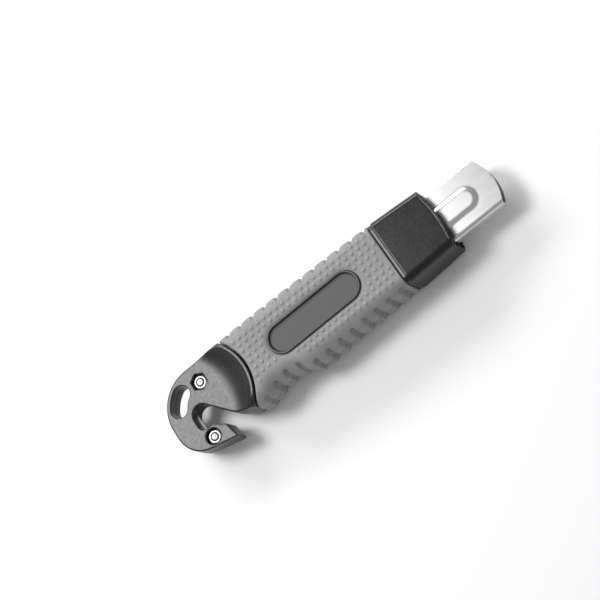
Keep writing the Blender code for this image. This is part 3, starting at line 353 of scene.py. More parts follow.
def hook_outline():
    """Round the hook from its top: back, limb, lip, strap notch, jaw and the round joint line."""
    crown = arc(CROWN_AT, CROWN_RADIUS, 90, 180)
    limb = arc(LIMB_AT, LIMB_RADIUS, 180, LIMB_END)
    lip = arc(LIP_AT, LIP_ROUND, LIMB_END, 360, 0.15)
    tip = arc(TIP_AT, TIP_ROUND, 0, 60, 0.15)
    floor = [NOTCH_FLOOR] + arc(FLOOR_AT, FLOOR_ROUND, 270, 180)
    top = arc(NOTCH_AT, NOTCH_RADIUS, 180, 90 - NOTCH_SLOPE)
    wall_end = polar(top[-1], JAW_RUN, -NOTCH_SLOPE)
    jaw = arc(polar(wall_end, JAW_RADIUS, 90 - NOTCH_SLOPE), JAW_RADIUS, 270 - NOTCH_SLOPE, 270 - JAW_FALL)
    fall = math.tan(math.radians(JAW_FALL))
    x = jaw[-1][0]
    while math.dist((x, jaw[-1][1] - (x - jaw[-1][0]) * fall), JOINT_AT) < JOINT_RADIUS:
        x += 0.01
    corner = (x, jaw[-1][1] - (x - jaw[-1][0]) * fall)
    low_turn = math.degrees(math.atan2(corner[1] - JOINT_AT[1], corner[0] - JOINT_AT[0]))
    high_turn = math.degrees(math.asin((SPINE_TOP - JOINT_AT[1]) / JOINT_RADIUS))
    return crown + limb + lip + tip + floor + top + jaw + arc(JOINT_AT, JOINT_RADIUS, low_turn, high_turn)


def slot_outline():
    """The lanyard slot, curved round the same centre as the crown."""
    start, end = SLOT_TURNS
    first, last = (polar(CROWN_AT, SLOT_RADIUS, turn) for turn in SLOT_TURNS)
    return (arc(CROWN_AT, SLOT_RADIUS + SLOT_HALF, start, end) + arc(last, SLOT_HALF, end, end + 180)[1:-1]
            + arc(CROWN_AT, SLOT_RADIUS - SLOT_HALF, end, start)
            + arc(first, SLOT_HALF, start + 180, start + 360)[1:-1])


def within(points, outline):
    """Which points lie inside an outline, by the crossings of a ray."""
    x, y = points[:, 0], points[:, 1]
    odd = np.zeros(len(points), bool)
    for (x1, y1), (x2, y2) in zip(outline, outline[1:] + outline[:1]):
        if y1 != y2:
            odd ^= ((y1 > y) != (y2 > y)) & (x < (x2 - x1) * (y - y1) / (y2 - y1) + x1)
    return odd


def distance_to(points, outline, longest=9.0):
    """Distance to an outline; a stretch over the longest length is an opening in it, and is left out."""
    best = np.full(len(points), 1e9)
    for (x1, y1), (x2, y2) in zip(outline, outline[1:] + outline[:1]):
        dx, dy = x2 - x1, y2 - y1
        if math.hypot(dx, dy) > longest:
            continue
        length = max(dx * dx + dy * dy, 1e-12)
        t = np.clip(((points[:, 0] - x1) * dx + (points[:, 1] - y1) * dy) / length, 0, 1)
        best = np.minimum(best, np.hypot(points[:, 0] - x1 - t * dx, points[:, 1] - y1 - t * dy))
    return best


def roll_over(distance, radius):
    """How far a rounded edge of this radius lies below the face, at this distance from the edge."""
    near = np.clip(distance, 0, radius)
    return radius - np.sqrt(radius ** 2 - (radius - near) ** 2)


def shell_height(x, y, outer_gap, joint_gap, hole_gap):
    """Height of the half's outer face above the parting plane."""
    top = np.maximum(spine(x) - y, 0.0)
    low = np.maximum(y - finger_side(x), 0.0) + 20.0 * smooth(-x, 50.0, 55.0)
    crossing = HANDLE_HALF - np.maximum(roll_over(top, 6.0), roll_over(low, 7.0))
    reach = np.abs(y - JOINT_AT[1])
    rise_low, rise_high = np.zeros(len(x)), np.ones(len(x))
    for _ in range(30):
        rise = (rise_low + rise_high) / 2
        radius = RIM_RADIUS + SCOOP_STRAIGHTER * (1 - rise)
        edge = (SCOOP_START + SCOOP_RUN * rise ** (1 / SCOOP_POWER) - radius
                + np.sqrt(np.maximum(radius ** 2 - reach ** 2, 0.0)))
        rise_low = np.where(edge < x, rise, rise_low)
        rise_high = np.where(edge < x, rise_high, rise)
    ramp = HOOK_HALF + (HANDLE_HALF - HOOK_HALF) * rise
    share = np.clip(0.5 + (ramp - crossing) / 1.2, 0, 1)
    joined = ramp * (1 - share) + crossing * share - 0.6 * share * (1 - share)
    return (joined - roll_over(outer_gap, OUTER_ROUND) - roll_over(joint_gap, JOINT_ROUND)
            - roll_over(hole_gap, HOLE_ROUND))


def hexagon(centre, radius, step=0.4):
    return spread([polar(centre, radius, 90 + 60 * i) for i in range(6)], step)


def round_pocket(centre, size):
    return arc(centre, size[0], 0, 360, 0.4)[:-1], size[1]


def clear_of(points, loops, gap):
    clear = np.ones(len(points), bool)
    for loop in loops:
        clear &= distance_to(points, loop) > gap
    return clear


def face_mesh(outer, holes):
    """Flat points and triangles inside the outer loop and outside the holes, finest beside the edges."""
    loops = [outer] + holes
    low, high = np.array(outer).min(0), np.array(outer).max(0)
    columns, rows = np.meshgrid(np.arange(low[0], high[0], FACE_STEP), np.arange(low[1], high[1], FACE_STEP))
    columns = columns + (np.arange(rows.shape[0]) % 2)[:, None] * FACE_STEP / 2
    inner = np.stack([columns.ravel(), rows.ravel()], 1)
    candidates = [inner[clear_of(inner, loops, 0.80)]]
    for loop in loops:
        ring = np.array(loop)
        ahead = np.roll(ring, -1, 0) - np.roll(ring, 1, 0)
        normal = np.stack([ahead[:, 1], -ahead[:, 0]], 1) / np.hypot(*ahead.T)[:, None]
        for gap in EDGE_GAPS:
            for way in (1, -1):
                shifted = ring + way * gap * normal
                candidates.append(shifted[clear_of(shifted, loops, gap * 0.96)])
    loose = np.concatenate(candidates)
    keep = within(loose, outer)
    for hole in holes:
        keep &= ~within(loose, hole)
    loose = loose[keep]
    edges, start, everything = [], 0, []
    for loop in loops:
        edges += [(start + i, start + (i + 1) % len(loop)) for i in range(len(loop))]
        everything += [Vector(point) for point in loop]
        start += len(loop)
    everything += [Vector(point) for point in loose.tolist()]
    corners, _, triangles, *_ = geometry.delaunay_2d_cdt(everything, edges, [], 0, 1e-5)
    at = np.array([tuple(corner) for corner in corners])
    middles = at[np.array([list(triangle) for triangle in triangles])].mean(1)
    solid = within(middles, outer)
    for hole in holes:
        solid &= ~within(middles, hole)
    return at, [tuple(triangle) for triangle, kept in zip(triangles, solid) if kept]


def shell_half(front):
    """Moulded face, walls and underside of one half of the hook, with its pockets."""
    outer = spread(hook_outline(), OUTLINE_STEP)
    slot = spread(slot_outline(), OUTLINE_STEP)
    if front:
        pockets = [(hexagon(UPPER_BOLT, NUT_POCKET[0]), NUT_POCKET[1]), round_pocket(LOWER_BOLT, BOLT_POCKET)]
    else:
        pockets = [round_pocket(UPPER_BOLT, HEAD_POCKET), round_pocket(LOWER_BOLT, HEAD_POCKET)]
    holes = [slot] + [outline for outline, _ in pockets]
    at, triangles = face_mesh(outer, holes)
    joint_gap = np.abs(JOINT_RADIUS - np.hypot(at[:, 0] - JOINT_AT[0], at[:, 1] - JOINT_AT[1]))
    sides = [point for point in outer if math.dist(point, JOINT_AT) < JOINT_RADIUS - 0.02]
    outer_gap = distance_to(at, sides)
    hole_gap = np.minimum.reduce([distance_to(at, hole) for hole in holes])
    height = shell_height(at[:, 0], at[:, 1], outer_gap, joint_gap, hole_gap)
    rub = np.exp(-np.minimum(outer_gap, hole_gap) / 0.5)
    shape = Shape()
    shape.add(np.column_stack([at, height]).tolist(), rub.tolist())
    shape.faces += triangles
    start = 0
    floors = []
    for number, loop in enumerate([outer] + holes):
        through = number < 2   # the outer wall and the slot's go down to the seam, the pockets' to a floor
        bottom = SEAM if through else pockets[number - 2][1]
        top_row = list(range(start, start + len(loop)))
        start += len(loop)
        brow_row = shape.add([(x, y, max(bottom + 0.2, height[i] - 0.25))
                              for i, (x, y) in zip(top_row, loop)], 0.1)
        middle_row = shape.add([(x, y, bottom + 0.12) for x, y in loop], 0.1)
        foot_row = shape.add([(x, y, bottom) for x, y in loop])
        for first, second in ((top_row, brow_row), (brow_row, middle_row), (middle_row, foot_row)):
            shape.band(first, second)
        if through:
            floors.append((loop, foot_row))
        else:
            shape.faces.append(tuple(foot_row))
    tiles = geometry.tessellate_polygon([[Vector((x, y, 0)) for x, y in loop] for loop, _ in floors])
    numbers = [index for _, row in floors for index in row]
    shape.faces += [tuple(numbers[index] for index in tile) for tile in tiles]
    return shape


def section(x, low, high, half, low_corner, high_corner, steps=8):
    """Half a rounded rectangle across the knife, from the seam at the spine to that at the fingers."""
    row = [(x, high, SEAM), (x, high, (half - high_corner) * 0.5)]
    for i in range(steps + 1):
        turn = math.pi / 2 * i / steps
        row.append((x, high - high_corner + high_corner * math.cos(turn),
                    half - high_corner + high_corner * math.sin(turn)))
    flat_high, flat_low = high - high_corner, low + low_corner
    row += [(x, flat_high + (flat_low - flat_high) * i / 16, half) for i in range(1, 16)]
    for i in range(steps + 1):
        turn = math.pi / 2 * (1 - i / steps)
        row.append((x, low + low_corner - low_corner * math.cos(turn),
                    half - low_corner + low_corner * math.sin(turn)))
    return row + [(x, low, (half - low_corner) * 0.5), (x, low, SEAM)]


def nylon(name, colour, roughness, shine=0.42):
    """Black moulded nylon: spark-eroded grain, a few handling scuffs and paler rubbed edges."""
    look = Finish(name, roughness, Specular_IOR_Level=shine)
    rubbed = look.wear()
    blotch = look.noise(260.0, 4.0)
    tone = look.blend(look.ramp(blotch, 0.30, 0.75), colour, tuple(1.35 * c for c in colour))
    scuffed = look.ramp(rubbed * 0.7 + look.noise(900.0, 3.0) * 0.5, 0.62, 1.0)
    look.feed("Base Color", look.mix(scuffed * 0.55, tone, (0.13, 0.13, 0.135, 1.0)))
    look.feed("Roughness", look.noise(700.0, 3.0) * 0.16 + (roughness - 0.08))
    grain = look.noise(5200.0, 2.0, 0.6)
    look.bump(grain, 0.000010)
    return look


def core_ring(share):
    """Across the core under the rubber, from the round joint line at share 0 to the collar at 1."""
    last = GRIP_FRONT - 0.2
    x = -48.0 + (last + 48.0) * share
    low_corner, high_corner = corner_radii(x)
    row = section(x, float(finger_side(x)) + CORE_INSET, float(spine(x)) - CORE_INSET,
                  HANDLE_HALF - CORE_INSET, low_corner - CORE_INSET, high_corner - CORE_INSET, 5)
    begin = [JOINT_AT[0] + math.sqrt((JOINT_RADIUS - 0.9) ** 2 - (y - JOINT_AT[1]) ** 2) for _, y, _ in row]
    return [(first + (last - first) * share, y, z) for first, (_, y, z) in zip(begin, row)]


# The neck inside the collar: a thick wall beside the slot that takes the sheath.
NECK = ((11.6, 3.62), (11.6, 5.3), (11.0, 6.9), (9.4, 7.6),
        (-10.1, 7.6), (-11.7, 6.9), (-12.3, 5.3), (-12.3, 3.62))
NECK_STATIONS = (28.0, 56.5, 56.8)

hook_nylon = nylon("hook_nylon", (0.007, 0.007, 0.0075), 0.36, 0.62)
for label, face in (("front", 1), ("rear", -1)):
    half = shell_half(label == "front")
    half.loft([core_ring(share) for share in np.linspace(0.0, 1.0, 36)], caps=(False, True))
    half.loft([[(x, y, z) for y, z in NECK] for x in NECK_STATIONS])
    shell_piece = show("shell_" + label, half.mesh("shell_" + label, face), hook_nylon)
    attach(shell_piece, "handle")
    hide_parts(label + "_shell")


# ---- Soft grip ------------------------------------------------------------------------------------
# Two half skins of grey thermoplastic rubber moulded over the shells: ribbed along the finger side
# and the spine, set with rows of small raised dots, and dished round each oval plate.
GRIP_GAP = 0.75                # open line between the shells' rim and the rubber
PLATE_AT = (-5.5, 0.5)
PLATE_SIZE = (47.4, 13.9)
RIB_PITCH = 6.5
FINGER_RIBS = (-42.5, 12)      # first groove and the number of them
FINGER_CUT, FINGER_CUT_HALF, FINGER_SWELL = 1.45, 1.45, 0.16
GROOVE_LENGTHS = (7.4, 7.6, 8.8, 9.2, 7.8, 7.7, 7.8, 7.6, 7.8, 7.7, 7.8, 7.6)
SPINE_RIBS = (-41.4, 12)
SPINE_CUT, SPINE_CUT_HALF, SPINE_SWELL, SPINE_LENGTH = 0.85, 1.15, 0.20, 10.4
DOT_ROWS = (12.3, 9.7, 6.9, 4.0, 1.0, -2.0, -5.1, -7.9, -10.8)
DOT_RADIUS = 0.92
DOT_HEIGHT = 0.38
DOT_SPACING = 3.35
DISH_DEPTH, DISH_REACH = 0.38, 0.85                    # shallow dish round each plate
SOCKET_DEPTH = 2.0             # recess that the plate sits in
SKIN_THICKNESS = 1.6
SKIN_ROWS = 350
FAR = 99.0                     # an arc length that no groove reaches


def oval_gap(x, y, length, height):
    """Signed distance to an oval's edge, below zero inside it."""
    reach = (length - height) / 2
    return np.hypot(np.maximum(np.abs(x - PLATE_AT[0]) - reach, 0.0), y - PLATE_AT[1]) - height / 2


def grip_columns():
    """Shares of the way along each stretch of the half section, from the spine's seam to the other."""
    stretches = ((0, 13), (1, 24), (2, 94), (3, 26), (4, 11))
    out = []
    for stretch, count in stretches:
        out += [(stretch, i / count) for i in range(count)]
    return out + [(4, 1.0)]


def grip_surface(x, columns):
    """Points, outward normals and arc length from both seams of the smooth skin, at stations x."""
    low_corner, high_corner = corner_radii(x)
    high, low = spine(x), finger_side(x)
    kinds = np.array([stretch for stretch, _ in columns])[None, :]
    share = np.array([part for _, part in columns])[None, :]
    r_high, r_low, high, low = (np.broadcast_to(v[:, None] if v.ndim == 1 else v, (len(x), len(columns)))
                                for v in (high_corner, low_corner, high, low))
    wall_high, wall_low = HANDLE_HALF - r_high, HANDLE_HALF - r_low
    turn_high = math.pi / 2 * share
    turn_low = math.pi / 2 * (1 - share)
    cases = [kinds == k for k in range(5)]
    y = np.select(cases, [high, high - r_high + r_high * np.cos(turn_high),
                          (high - r_high) + (low + r_low - high + r_high) * share,
                          low + r_low - r_low * np.cos(turn_low), low])
    z = np.select(cases, [SEAM + (wall_high - SEAM) * share, wall_high + r_high * np.sin(turn_high),
                          HANDLE_HALF, wall_low + r_low * np.sin(turn_low),
                          wall_low + (SEAM - wall_low) * share])
    ny = np.select(cases, [1.0, np.cos(turn_high), 0.0, -np.cos(turn_low), -1.0])
    nz = np.select(cases, [0.0, np.sin(turn_high), 1.0, np.sin(turn_low), 0.0])
    from_spine = np.select(cases, [z, wall_high + r_high * turn_high, FAR, FAR, FAR])
    from_finger = np.select(cases, [FAR, FAR, wall_low + r_low * math.pi / 2 + (y - low - r_low),
                                    wall_low + r_low * turn_low, z])
    return y, z, ny, nz, from_spine, from_finger


def valley(distance, half_width):
    """1 on a groove's floor and 0 past its edge, with a round bottom."""
    return 0.5 + 0.5 * np.cos(math.pi * np.clip(distance / half_width, 0, 1))


def dot_places():
    """Rows of dots over the front face, staggered, and left out round the plate and the finger ribs."""
    places = []
    for number, y in enumerate(DOT_ROWS):
        stagger = 2.2 + 0.9 * (number % 2)
        x = JOINT_AT[0] + math.sqrt((JOINT_RADIUS + GRIP_GAP) ** 2 - (y - JOINT_AT[1]) ** 2) + stagger
        while x < GRIP_FRONT - 1.2:
            beside_plate = float(oval_gap(np.array([x]), np.array([y]), *PLATE_SIZE)[0]) > 1.25
            above_ribs = y > finger_side(np.array([x]))[0] + (7.0 if x < -17.5 else 4.2)
            if beside_plate and above_ribs:
                places.append((x, y))
            x += DOT_SPACING
    return places


def grooves(x, along, ribs, lengths, cut, half_width, sharpness, swell, swell_length, swell_half):
    """Grooves across one edge of the skin, with the ribs between them slightly swelled."""
    proud = np.zeros_like(x)
    for i in range(ribs[1]):
        across = x - (ribs[0] + RIB_PITCH * i)
        ends = np.maximum(along - lengths[i], 0.0)
        proud -= cut * valley(np.hypot(across, ends), half_width) ** sharpness
        past = np.maximum(along - swell_length, 0.0)
        proud += swell * valley(np.hypot(across - RIB_PITCH / 2, past), swell_half)
    return proud


def grip_half():
    """The smooth skin, pushed in at its grooves, dish and edges, and out at its ribs and dots."""
    columns = grip_columns()
    share = np.linspace(0.0, 1.0, SKIN_ROWS)
    x = np.zeros((SKIN_ROWS, len(columns)))
    start = np.full(len(columns), -45.0)
    for _ in range(8):         # where each column of the skin meets the round joint line
        y, *_ = grip_surface(start, columns)
        reach = np.diagonal(y) - JOINT_AT[1]
        start = JOINT_AT[0] + np.sqrt(np.maximum((JOINT_RADIUS + GRIP_GAP) ** 2 - reach ** 2, 1.0))
    for column in range(len(columns)):
        x[:, column] = start[column] + (GRIP_FRONT - start[column]) * share
    y, z, ny, nz, from_spine, from_finger = (np.zeros_like(x) for _ in range(6))
    for column, place in enumerate(columns):
        parts = grip_surface(x[:, column], [place])
        for whole, part in zip((y, z, ny, nz, from_spine, from_finger), parts):
            whole[:, column] = part[:, 0]
    proud = grooves(x, from_finger, FINGER_RIBS, GROOVE_LENGTHS, FINGER_CUT, FINGER_CUT_HALF, 0.65,
                    FINGER_SWELL, 6.5, 2.3)
    proud += grooves(x, from_spine, SPINE_RIBS, [SPINE_LENGTH] * SPINE_RIBS[1], SPINE_CUT, SPINE_CUT_HALF,
                     0.7, SPINE_SWELL, 8.5, 2.6)
    for dot_x, dot_y in dot_places():
        near = (np.abs(x - dot_x) < DOT_RADIUS) & (np.abs(y - dot_y) < DOT_RADIUS) & (z > 5.0)
        if near.any():
            away = np.hypot(x[near] - dot_x, y[near] - dot_y)
            proud[near] += DOT_HEIGHT * np.sqrt(1 - np.clip(away / DOT_RADIUS, 0, 1) ** 2)
    face = smooth(z, 8.6, 9.6)
    oval = oval_gap(x, y, *PLATE_SIZE)
    proud -= face * DISH_DEPTH * np.exp(-(np.maximum(oval, 0.0) / DISH_REACH) ** 2)
    proud -= face * SOCKET_DEPTH * smooth(-oval, 0.35, 1.0)
    from_joint = np.hypot(x - JOINT_AT[0], y - JOINT_AT[1]) - JOINT_RADIUS - GRIP_GAP
    proud -= roll_over(np.maximum(from_joint, x - start[None, :]), 0.9) * 0.9
    proud -= roll_over(GRIP_FRONT - x, 0.45)
    proud -= roll_over(z - SEAM + 0.02, 0.22) * (1 - face)
    shape = Shape()
    ridge = np.clip(proud * 1.2, 0, 1)
    skin = np.stack([x, y + ny * proud, z + nz * proud], 2)
    shape.add(skin.reshape(-1, 3).tolist(), ridge.ravel().tolist())
    wide = len(columns)
    index = np.arange(SKIN_ROWS * wide).reshape(SKIN_ROWS, wide)
    quads = np.stack([index[:-1, :-1], index[:-1, 1:], index[1:, 1:], index[1:, :-1]], 2).reshape(-1, 4)
    shape.faces += [tuple(quad) for quad in quads.tolist()]
    # The turned-in edge, all round.
    border = list(index[0, :]) + list(index[1:, -1]) + list(index[-1, -2::-1]) + list(index[-2:0:-1, 0])
    inner_y = (ny * SKIN_THICKNESS).ravel()
    inner_z = (nz * SKIN_THICKNESS).ravel()
    flat = skin.reshape(-1, 3)
    lining = []
    for number in border:
        px, py, pz = flat[number]
        lining.append((px, py - inner_y[number], max(SEAM, pz - inner_z[number])))
    inside_row = shape.add(lining)
    shape.band([int(number) for number in border], inside_row)
    return shape


rubber = Finish("soft_grip_rubber", 0.62, Specular_IOR_Level=0.35)
GRIP_GREY = (0.27, 0.27, 0.273)
GRIP_RUBBED = (0.38, 0.38, 0.383)
raised = rubber.wear()
cloudy = rubber.noise(120.0, 4.0)
patch = rubber.blend(rubber.ramp(cloudy, 0.35, 0.70), GRIP_GREY, tuple(c * 0.90 for c in GRIP_GREY))
rubber.feed("Base Color", rubber.mix((raised * 1.3).clamped() * 0.45, patch, (*GRIP_RUBBED, 1.0)))
rubber.feed("Roughness", rubber.noise(800.0, 3.0) * 0.18 + 0.53)
rubber.bump(rubber.noise(2600.0, 3.0, 0.65), 0.000030)
for label, face in (("front", 1), ("rear", -1)):
    skin_piece = show("grip_" + label, grip_half().mesh("grip_" + label, face, 60), rubber)
    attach(skin_piece, "handle")
    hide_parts(label + "_grip")


# ---- Oval plates ----------------------------------------------------------------------------------
# Black ABS plates pressed into the rubber. The front one has a raised rim round a lower matt field,
# which is left blank; the rear one is plain, and the knife lies on it.
PLATE_FOOT = 8.45
PLATE_TOP = 10.8
FIELD_DROP = 0.85
FIELD_INSET = 1.50


def oval_ring(inset, z, steps=40):
    """Points round the plate's edge, drawn in by inset."""
    radius = PLATE_SIZE[1] / 2 - inset
    reach = (PLATE_SIZE[0] - PLATE_SIZE[1]) / 2
    ring = []
    for centre, start in ((reach, -90), (-reach, 90)):
        for i in range(steps + 1):
            turn = math.radians(start + 180 * i / steps)
            ring.append((PLATE_AT[0] + centre + radius * math.cos(turn),
                         PLATE_AT[1] + radius * math.sin(turn), z))
    return ring


def plate(front):
    """Rings of a plate by their inset and height, from its foot over the rim."""
    shape = Shape()
    field = PLATE_TOP - FIELD_DROP
    profile = [(0.0, PLATE_FOOT), (0.0, PLATE_TOP - 0.40), (0.06, PLATE_TOP - 0.20), (0.20, PLATE_TOP - 0.06),
               (0.42, PLATE_TOP)]
    if front:
        profile += [(0.90, PLATE_TOP), (1.14, PLATE_TOP - 0.08), (1.30, PLATE_TOP - 0.28),
                    (1.40, field + 0.18), (FIELD_INSET, field + 0.04), (1.70, field), (2.6, field),
                    (4.4, field + 0.03)]
    else:
        profile += [(1.4, PLATE_TOP), (3.4, PLATE_TOP)]
    shape.loft([oval_ring(inset, z) for inset, z in profile])
    return shape


plate_rim = nylon("plate_abs", (0.020, 0.020, 0.021), 0.34)
plate_field = Finish("plate_field_abs", 0.58, Specular_IOR_Level=0.4)
eroded = plate_field.noise(1400.0, 4.0, 0.7)
plate_field.mottle(eroded, 0.3, 0.7, (0.070, 0.070, 0.071), (0.092, 0.092, 0.093))
plate_field.feed("Roughness", plate_field.noise(2400.0, 3.0) * 0.14 + 0.50)
plate_field.bump(plate_field.noise(5200.0, 3.0, 0.7), 0.00003)
for label, face in (("front", 1), ("rear", -1)):
    mesh = plate(label == "front").mesh("plate_" + label, face, 50)
    plate_piece = show("plate_" + label, mesh, plate_rim, plate_field)
    if label == "front":
        for polygon in mesh.polygons:
            spot = polygon.center / MM
            inside = float(oval_gap(np.array([spot.x]), np.array([spot.y]), *PLATE_SIZE)[0]) < -FIELD_INSET
            on_face = spot.z * MM > SEAM_Z
            polygon.material_index = 1 if inside and on_face else 0
    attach(plate_piece, "handle")
    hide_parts(label + "_plate")


# ---- Collar ---------------------------------------------------------------------------------------
# Satin black ferrule moulded in one piece and pushed over the front of both shells. Its front edge is
# bowed, and a trough in the spine side takes the thumb slider.
COLLAR_FRONT = 58.7
COLLAR_WALL = 1.5
COLLAR_CORNER = 3.2
COLLAR_STEPS, CORNER_STEPS = (60, 40, 16, 40), 12      # along the spine, front, fingers and rear
TROUGH_X, TROUGH_HALF, TROUGH_FLOOR = (34.2, 57.6), 4.9, 13.7
THUMB_SLOT_X, THUMB_SLOT_HALF = (35.7, 56.3), 3.3
TAPER_SPINE, TAPER_FINGER, TAPER_HALF = 1.5, 1.1, 0.9  # how much each side draws in towards the front
REAR_GROOVE_END = 34.7
BOW_FROM, BOW = 46.0, 1.5


def collar_ring(x, shrink, bow):
    """Rounded rectangle across the knife, from the spine's rear corner round by the front face."""
    run = (x - COLLAR_REAR) / (COLLAR_FRONT - COLLAR_REAR)
    high = float(spine(COLLAR_REAR)) - 0.1 - TAPER_SPINE * run - shrink
    low = float(finger_side(np.array([COLLAR_REAR]))[0]) + 0.1 + TAPER_FINGER * run + shrink
    half = HANDLE_HALF - 0.1 - TAPER_HALF * run - shrink
    corner = max(0.6, COLLAR_CORNER - shrink)
    middles = [(high - corner, half - corner), (low + corner, half - corner),
               (low + corner, corner - half), (high - corner, corner - half)]
    out = []
    for k, steps in enumerate(COLLAR_STEPS):
        start, end = polar(middles[k - 1], corner, 90 * k), polar(middles[k], corner, 90 * k)
        out += [(start[0] + (end[0] - start[0]) * i / steps, start[1] + (end[1] - start[1]) * i / steps)
                for i in range(steps)]
        out += [polar(middles[k], corner, 90 * (k + i / CORNER_STEPS)) for i in range(CORNER_STEPS)]
    middle, reach = (high + low) / 2, (high - low) / 2
    return [(x - bow * ((y - middle) / reach) ** 2, y, z) for y, z in out]


# Stations by place, inset and bow: the rear groove, the plain body, the rolled front rim and the bore.
stations = [(COLLAR_REAR, 1.6, 0), (COLLAR_REAR, 0.62, 0), (33.05, 0.50, 0), (34.00, 0.50, 0),
            (34.16, 0.42, 0), (34.26, 0.16, 0), (34.42, 0.04, 0), (REAR_GROOVE_END, 0.0, 0)]
body = [REAR_GROOVE_END + 22.3 * i / 64 for i in range(1, 65)]
stations += [(x, 0.0, 1.35 * smooth(x, BOW_FROM, 57.0)) for x in body]
stations += [(57.50, 0.03, 1.42), (57.95, 0.0, 1.46), (58.25, -0.05, 1.48), (58.50, 0.02, BOW),
             (58.66, 0.22, BOW), (COLLAR_FRONT, 0.50, BOW), (58.66, 0.85, BOW), (58.40, 1.20, BOW),
             (57.60, COLLAR_WALL, BOW)]
bore = [(50.0, COLLAR_WALL, 0.3), (COLLAR_REAR, 1.6, 0)]
collar_shape = Shape()
rows = []
for number, (x, shrink, bow) in enumerate(stations + bore):
    ring = collar_ring(x, shrink, float(bow))
    if shrink < 0.4 and number < len(stations):
        for index, (px, py, pz) in enumerate(ring):
            if py > 12.0:
                inset = min(px - TROUGH_X[0], TROUGH_X[1] - px, TROUGH_HALF - abs(pz))
                ring[index] = (px, py - float(smooth(inset, -0.25, 0.35)) * (py - TROUGH_FLOOR), pz)
    outside_wall = 0 < number < len(stations) - 1
    rows.append(collar_shape.add(ring, [0.9 if point[0] > 57.9 and outside_wall else 0.12 for point in ring]))
for first, second in zip(rows, rows[1:]):
    collar_shape.band(first, second)
slotted = []
for quad in collar_shape.faces:
    x, y, z = np.mean([collar_shape.points[k] for k in quad], 0)
    in_slot = THUMB_SLOT_X[0] < x < THUMB_SLOT_X[1] and abs(z) < THUMB_SLOT_HALF and y > 12.0
    if not in_slot:
        slotted.append(quad)
collar_shape.faces = slotted
collar_nylon = nylon("collar_nylon", (0.006, 0.006, 0.0065), 0.26, 0.40)
collar_piece = show("nose_collar", collar_shape.mesh("nose_collar", 1, 50), collar_nylon)
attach(collar_piece, "handle")
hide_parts("collar")


# ---- Blade sheath ---------------------------------------------------------------------------------
# Bright stainless sheet 0.8 mm thick, pressed with a long rib on each side and folded along the
# finger side, so that the blade runs between two walls. Two pegs in the shells hold it.
SHEATH_HALF = 3.25
SHEATH_SHEET = 0.8
SHEATH_FOLD = 1.6
SHEATH_TAIL = 36.0
SHEATH_HIGH, SHEATH_LOW = 10.6, -11.5
NOSE_AT, NOSE_RADIUS = (63.9, -0.45), 21.1
RIB_START, RIB_END, RIB_HALF, RIB_SLOPE, RIB_RISE = 47.0, 76.4, 5.5, 2.3, 0.62
BROKEN_EDGE = 0.00012          # in metres


def rib_rise(x, y):
    """Height of the pressed rib: a flat-topped tongue with sloped sides."""
    centre = RIB_END - RIB_HALF
    inside = RIB_HALF - np.hypot(np.maximum(x - centre, 0.0), y - NOSE_AT[1])
    inside = np.minimum(inside, x - RIB_START)
    share = np.clip(inside / RIB_SLOPE, 0, 1)
    return RIB_RISE * share ** 2 * (3 - 2 * share)


def sheath_profile(inset):
    """Across the sheath: down the front wall, round the fold and up the rear wall."""
    half, low = SHEATH_HALF - inset, SHEATH_LOW + inset
    fold = SHEATH_FOLD - inset
    row = [(SHEATH_HIGH - (SHEATH_HIGH - low - fold) * i / 56, half) for i in range(57)]
    row += [(low + fold - fold * math.sin(math.radians(t)), half - fold + fold * math.cos(math.radians(t)))
            for t in range(10, 91, 10)]
    row += [(low, z) for z in np.linspace(half - fold, -half + fold, 6)[1:]]
    row += [(low + fold - fold * math.cos(math.radians(t)), -half + fold - fold * math.sin(math.radians(t)))
            for t in range(10, 91, 10)]
    return row + [(SHEATH_HIGH - (SHEATH_HIGH - low - fold) * (1 - i / 56), -half) for i in range(1, 57)]


def sheath_skin(inset, shape):
    """The folded skin at this depth in the sheet, from its tail to the bowed nose."""
    profile = np.array(sheath_profile(inset))
    ends = NOSE_AT[0] + np.sqrt(np.maximum(NOSE_RADIUS ** 2 - (profile[:, 0] - NOSE_AT[1]) ** 2, 0))
    rows = []
    for share in np.linspace(0, 1, 150) ** 0.9:
        x = SHEATH_TAIL + (ends - SHEATH_TAIL) * share
        rise = rib_rise(x, profile[:, 0]) * np.sign(profile[:, 1])
        rows.append(shape.add(np.column_stack([x, profile[:, 0], profile[:, 1] + rise]).tolist()))
    for first, second in zip(rows, rows[1:]):
        shape.band(first, second, False)
    return rows


sheath_shape = Shape()
outside = sheath_skin(0.0, sheath_shape)
inside = sheath_skin(SHEATH_SHEET, sheath_shape)
# Rounded rims join the outer and inner skins at the nose, at the tail and along both top edges.
for first, second in ((outside[-1], inside[-1]), (outside[0], inside[0])):
    sheath_shape.band(first, second, False)
for end in (0, -1):
    sheath_shape.band([row[end] for row in outside], [row[end] for row in inside], False)
steel = Finish("satin_stainless", 0.26, 1.0)
brushed = steel.noise(2600.0, 3.0, 0.6, (0.05, 1.0, 1.0))
smudge = steel.noise(90.0, 4.0, 0.6)
steel.mottle(smudge, 0.35, 0.75, (0.70, 0.70, 0.702), (0.64, 0.64, 0.643))
steel.feed("Roughness", brushed * 0.10 + smudge * 0.06 + 0.145)
steel.bump(brushed, 0.000002)
sheath_piece = show("blade_sheath", sheath_shape.mesh("blade_sheath", 1, 40), steel)
bevel = sheath_piece.modifiers.new("broken_edges", "BEVEL")
bevel.width = BROKEN_EDGE
bevel.segments = 2
bevel.limit_method = "ANGLE"
bevel.angle_limit = math.radians(50)
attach(sheath_piece, "handle")
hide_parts("guard")


